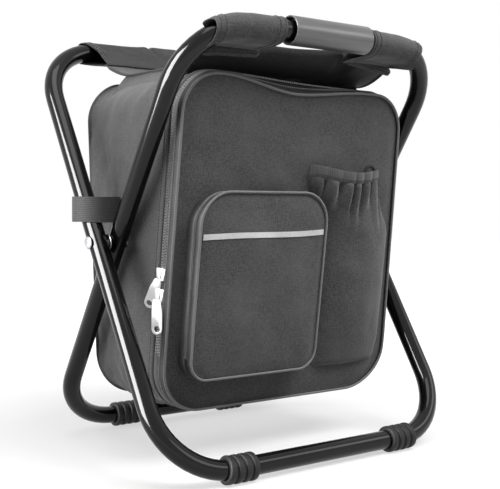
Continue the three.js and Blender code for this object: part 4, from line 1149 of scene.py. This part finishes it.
def makeBottlePocket():
    bm = clothGrid(130, 84, bottlePoint, (0, -1, 0), 1 * mm)
    cloth = finishPiece(bm, "bottlePocket", ["bagCloth"], "door", ["bottle_pocket"])
    rise = bottle["hem"] / (bottle["top"] - bottle["bottom"])
    bm = bmesh.new()
    rings = []
    for u in spaced(0, 1, 120):
        ring = []
        for t in spaced(0, 2 * math.pi, 16)[:-1]:
            high = 1 + rise * (0.5 + 0.52 * math.cos(t))
            ring.append(bottlePoint(u, high, 1.1 * mm * math.sin(t) + 0.5 * mm))
        rings.append(ring)
    closeEnds(bm, *loft(bm, rings))
    turnOut(bm)
    hem = finishPiece(bm, "bottleHem", ["elastic"], "door", ["bottle_pocket_hem"], 70)
    bm = bmesh.new()
    row = [bottlePoint(u, 1 + rise * 0.2, 1.6 * mm) for u in spaced(0.02, 0.98, 60)]
    stitchRow(bm, row, [Vector((0, -1, 0))])
    # a small cord loop stands behind the hem
    base = bottlePoint(0.82, 1 + rise)
    rings = []
    for t in spaced(-0.25, math.pi + 0.25, 18):
        middle = base + Vector((6.5 * mm * math.cos(t), 4 * mm, 6 * mm * math.sin(t) - 1 * mm))
        out = Vector((math.cos(t), 0, math.sin(t)))
        rings.append([middle + (out * a + deepWay * b) for a, b in roundSection(1.7 * mm, 10)])
    loop = bmesh.new()
    closeEnds(loop, *loft(loop, rings))
    turnOut(loop)
    finishPiece(loop, "bottleLoop", ["zipTape"], "door")
    stitches = finishPiece(bm, "bottleStitches", ["thread"], "door")


makeBottlePocket()
print("bottle pocket done")

# zip sliders: a waisted body with a bridge; pulls: flat tabs with an eye
lean = math.atan(bag["frontLean"])


slider = {"bevel": 0.6 * mm, "taper": 0.78, "bridge": 3.2 * mm, "bridgeLength": 0.62, "bridgeRise": 2 * mm}
pull = {"wall": 1.4 * mm, "bevel": 0.35 * mm, "eye": 0.27, "points": 40}
# where the sliders stand, and how the ones on the main zip and their tabs are turned to the front
zipRest = {"upper": 190 * mm, "lower": 170 * mm, "pocket": 190 * mm, "upperTilt": math.radians(35),
           "lowerTilt": 0.0, "sliderTurn": math.radians(16), "tabTurn": math.radians(34)}


def hangMetal(bm, name, body, node, place, turn):
    bmesh.ops.transform(bm, matrix=Matrix.Translation(place) @ turn, verts=bm.verts)
    turnOut(bm)
    finishPiece(bm, name, ["chrome"], body, [node], 35)


def makeSlider(name, body, node, place, turn, length, width, tall):
    bm = bmesh.new()
    for long, wide, high in ((length, width, tall), (length * slider["bridgeLength"], slider["bridge"],
                                                     tall + slider["bridgeRise"])):
        made = bmesh.ops.create_cube(bm, size=1, matrix=Matrix.Diagonal((high, wide, long, 1)))["verts"]
        bmesh.ops.translate(bm, verts=made, vec=(high / 2, 0, 0))
    ends = [v for v in bm.verts if v.co.z < 0 and abs(v.co.y) > 2 * mm]
    bmesh.ops.scale(bm, verts=ends, vec=(1, slider["taper"], 1))
    bmesh.ops.bevel(bm, geom=bm.edges[:], offset=slider["bevel"], segments=2, profile=0.5, affect="EDGES",
                    material=-1)
    hangMetal(bm, name, body, node, place, turn)


def makePull(name, body, node, place, turn, length, width, neck):
    bm = bmesh.new()
    eye = Vector((0, 0, -length + width / 2))
    count, half = pull["points"], width / 2
    line = [Vector((0, y, z)) for y, z in ((-neck / 2, 0), (neck / 2, 0), (half, -width), (half, eye.z))]
    line += [Vector((0, half * math.cos(t), eye.z - half * math.sin(t))) for t in spaced(0, math.pi, 14)]
    line += [Vector((0, -half, -width))]
    outline = resample(line, count, closed=True)
    first = min(range(count), key=lambda i: abs(math.atan2(outline[i].y, outline[i].z - eye.z)))
    outline = outline[first:] + outline[:first]
    hole = [eye + (p - eye).normalized() * pull["eye"] * width for p in outline]
    loft(bm, [outline, hole])
    turnTowards(bm, (1, 0, 0))
    thicken(bm, pull["wall"])
    rims = [e for e in bm.edges if e.calc_face_angle(0) > 1]
    bmesh.ops.bevel(bm, geom=rims, offset=pull["bevel"], segments=2, profile=0.5, affect="EDGES", material=-1)
    bmesh.ops.translate(bm, verts=bm.verts, vec=(pull["wall"], 0, 0))
    hangMetal(bm, name, body, node, place, turn)


def makeZipPulls():
    backwards = Matrix.Rotation(math.pi, 4, "Z")
    leanTurn = Matrix.Rotation(lean, 4, "X")
    for word in ("Upper", "Lower"):
        key = word.lower()
        z, tilt = zipRest[key], zipRest[key + "Tilt"]
        spot = Vector((-bag["half"] - 1.2 * mm, frontY(z) + zipLine["middle"], z))
        turn = leanTurn @ Matrix.Rotation(zipRest["sliderTurn"], 4, "Z") @ backwards
        makeSlider("slider" + word, "slider_" + key, "zip_slider_" + key, spot, turn,
                   12 * mm, 11 * mm, 3.4 * mm)
        drop = 3.8 * mm + 2.5 * mm * math.sin(abs(tilt - lean))
        hinge = spot + Vector((-3.9 * mm, drop * math.sin(lean), -drop * math.cos(lean)))
        turn = Matrix.Rotation(tilt, 4, "X") @ Matrix.Rotation(zipRest["tabTurn"], 4, "Z") @ backwards
        makePull("pull" + word, "pull_" + key, "zip_pull_" + key, hinge, turn, 34 * mm, 11 * mm, 7 * mm)
    z = zipRest["pocket"]
    spot = Vector((pocket["right"] + 1.2 * mm, frontY(z) - 11.25 * mm, z))
    makeSlider("pocketSlider", "pocket_slider", "pocket_zip_slider", spot, leanTurn, 10 * mm, 6 * mm, 3 * mm)
    hinge = spot + Vector((3.3 * mm, 2.8 * mm * math.sin(lean), -2.8 * mm * math.cos(lean)))
    makePull("pocketPull", "pocket_pull", "pocket_zip_pull", hinge, leanTurn, 24 * mm, 5 * mm, 3.5 * mm)


makeZipPulls()
print("sliders and pulls done")

# webbing loops round the outer legs, and cloth that hangs the bag's sides from the seat's edges
strap = {"height": 251 * mm, "width": 25 * mm, "wall": 1.8 * mm, "radius": 21 * mm, "far": 172 * mm,
         "near": 162 * mm}
strapSection = ((-0.5, -0.5), (0.5, -0.47), (0.5, 0), (0.5, 0.47), (-0.5, 0.5), (-0.5, 0))
hanger = {"fromY": -48 * mm, "toY": 58 * mm, "slant": 9 * mm, "side": (131 * mm, 121.5 * mm, 114.5 * mm),
          "below": 15 * mm, "above": 1 * mm, "wall": 1.6 * mm}


# a curve from a to c that b draws aside
def bend(a, b, c, t):
    return lerp(lerp(a, b, t), lerp(b, c, t), t)


# the bag's shoulder, a turn beside its top and the seat's edge, joined by a curve
def hangerPoint(u, v, side):
    depth = lerp(hanger["fromY"], hanger["toY"] + hanger["slant"] * (1 - v), u)
    top = bagWave(side * 100 * mm)
    wide = bend(*hanger["side"], v)
    z = bend(top - hanger["below"], top + hanger["above"], seatLine(depth) - 1.2 * mm, v)
    lay = ripple((u * 0.1, side, v * 0.03), 25, 1.4, 44) * math.sin(math.pi * v)
    return Vector((side * (wide + lay), depth, z))


def makeStraps():
    y = tube["spread"] / tube["rise"] * (strap["height"] - pivot.z)
    for word, side in bothSides:
        path = []
        for t in spaced(0, 2 * math.pi, 72)[:-1]:
            centre = strap["far"] if math.cos(t) > 0 else strap["near"]
            x = side * (centre + strap["radius"] * math.cos(t))
            path.append(Vector((x, y + strap["radius"] * math.sin(t), strap["height"])))
        rings = []
        for i, p in enumerate(path):
            ahead = (path[(i + 1) % len(path)] - path[i - 1]).normalized()
            out = Vector((ahead.y, -ahead.x, 0))
            wave = ripple(p, 30, 1.2, 41)
            ring = []
            for a, b in strapSection:
                ring.append(p + out * (a * strap["wall"]) + Vector((0, 0, b * strap["width"] + wave)))
            rings.append(ring)
        bm = skin(rings, loop=True)
        piece = finishPiece(bm, "legStrap" + word, ["webbing"], None,
                            ["leg_strap_" + word.lower()], 40)
        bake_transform(piece)

        bm = clothGrid(44, 10, lambda u, v: hangerPoint(u, v, side), (side, 0, 0), hanger["wall"])
        cloth = finishPiece(bm, "hanger" + word, ["bagCloth"], None,
                            ["hanger_" + word.lower()])
        joinLoops(cloth)


makeStraps()
print("straps and hangers done")


# camera at the photographed angle
def placeCamera():
    azimuth, elevation, roll = math.radians(-36.801), math.radians(2.714), math.radians(0.512)
    level = Vector((math.cos(azimuth), math.sin(azimuth), 0))
    flat = math.cos(elevation)
    back = Vector((math.sin(azimuth) * flat, -math.cos(azimuth) * flat, math.sin(elevation)))
    right = level * math.cos(roll) + back.cross(level) * math.sin(roll)
    camera = bpy.data.objects.new("camera", bpy.data.cameras.new("camera"))
    camera.data.lens = 69.96
    camera.data.sensor_width = 36
    camera.data.clip_start = 0.01
    matrix = Matrix((right, back.cross(right), back)).transposed().to_4x4()
    matrix.translation = Vector((-0.62802, -0.84821, 0.26299))
    camera.matrix_world = matrix
    bpy.context.scene.collection.objects.link(camera)
    bpy.context.scene.camera = camera


# name, place, aim, size and watts, then the rays that don't see the lamp; the two cards show in gloss only,
# one as a glint on the tubes and the grip, the other as the bright strip along each tube
lamps = ((("softboxLeft", (-1.1, 1.0, 0.7), (0, 0, 0.22), (0.8, 1.2), 13), "visible_glossy"),
         (("keyRight", (0.45, -1.15, 1.7), (0, 0, 0.25), (1.2, 0.9), 37), "visible_glossy"),
         (("gripCard", (1.0, -1.35, 1.1), (0, 0, 0.4), (1.7, 0.5), 9), "visible_diffuse"),
         (("softTop", (-0.3, -0.5, 1.9), (0, 0, 0.2), (1.2, 1.2), 16), None),
         (("reflectorCard", (-1.4, 0.05, 0.45), (0, 0, 0.22), (0.8, 1.6), 150), "visible_diffuse"))


def addLamp(name, place, aim, size, power):
    data = bpy.data.lights.new(name, "AREA")
    data.shape = "RECTANGLE"
    data.size, data.size_y = size
    data.energy = power
    lamp = bpy.data.objects.new(name, data)
    lamp.location = place
    lamp.rotation_euler = (Vector(aim) - Vector(place)).to_track_quat("-Z", "Y").to_euler()
    bpy.context.scene.collection.objects.link(lamp)
    return lamp


# 1 for rays that show the backdrop itself: straight from the camera, in mirrors and through glass
def seenRays(tree):
    path = addNode(tree, "LightPath")
    seen = path.outputs["Is Camera Ray"]
    for kind in ("Is Glossy Ray", "Is Transmission Ray"):
        seen = addNode(tree, "Math", {0: seen, 1: path.outputs[kind]}, operation="MAXIMUM").outputs[0]
    return seen


def makeStage():
    bm = bmesh.new()
    bmesh.ops.create_grid(bm, x_segments=1, y_segments=1, size=4)
    mesh = bpy.data.meshes.new("floor")
    bm.to_mesh(mesh)
    bm.free()
    floor = bpy.data.objects.new("floor", mesh)
    bpy.context.scene.collection.objects.link(floor)
    # white paper sweep: diffuse for the shadow, and lifted to white away from the stool
    paper, tree, shader = newMaterial("white_paper_sweep", Base_Color=linear("#a4a4a4"), Roughness=0.9,
                                      Specular_IOR_Level=0.1)
    seen = seenRays(tree)
    place = addNode(tree, "TexCoord").outputs["Object"]
    away = addNode(tree, "VectorMath", {0: place}, operation="LENGTH").outputs["Value"]
    direct = addNode(tree, "MapRange", {"Value": away, 1: 0.25, 2: 0.75, 3: 0.58, 4: 1.0}).outputs[0]
    lift = addNode(tree, "Math", {0: seen, 1: direct}, operation="MULTIPLY").outputs[0]
    shader.inputs["Emission Color"].default_value = (1, 1, 1, 1)
    feed(tree, shader, Emission_Strength=lift)
    mesh.materials.append(paper)

    world = bpy.data.worlds.new("studio")
    bpy.context.scene.world = world
    world.use_nodes = True
    tree = world.node_tree
    ground = tree.nodes["Background"]
    ground.inputs["Color"].default_value = (1, 1, 1, 1)
    seen = seenRays(tree)
    strength = addNode(tree, "Mix", {0: seen, 2: 0.24, 3: 1.0}).outputs[0]
    tree.links.new(strength, ground.inputs["Strength"])

    for lamp, hidden in lamps:
        made = addLamp(*lamp)
        if hidden:
            setattr(made, hidden, False)


placeCamera()
makeStage()
bpy.context.scene.view_settings.view_transform = "Standard"
print("camera, floor and lights done")
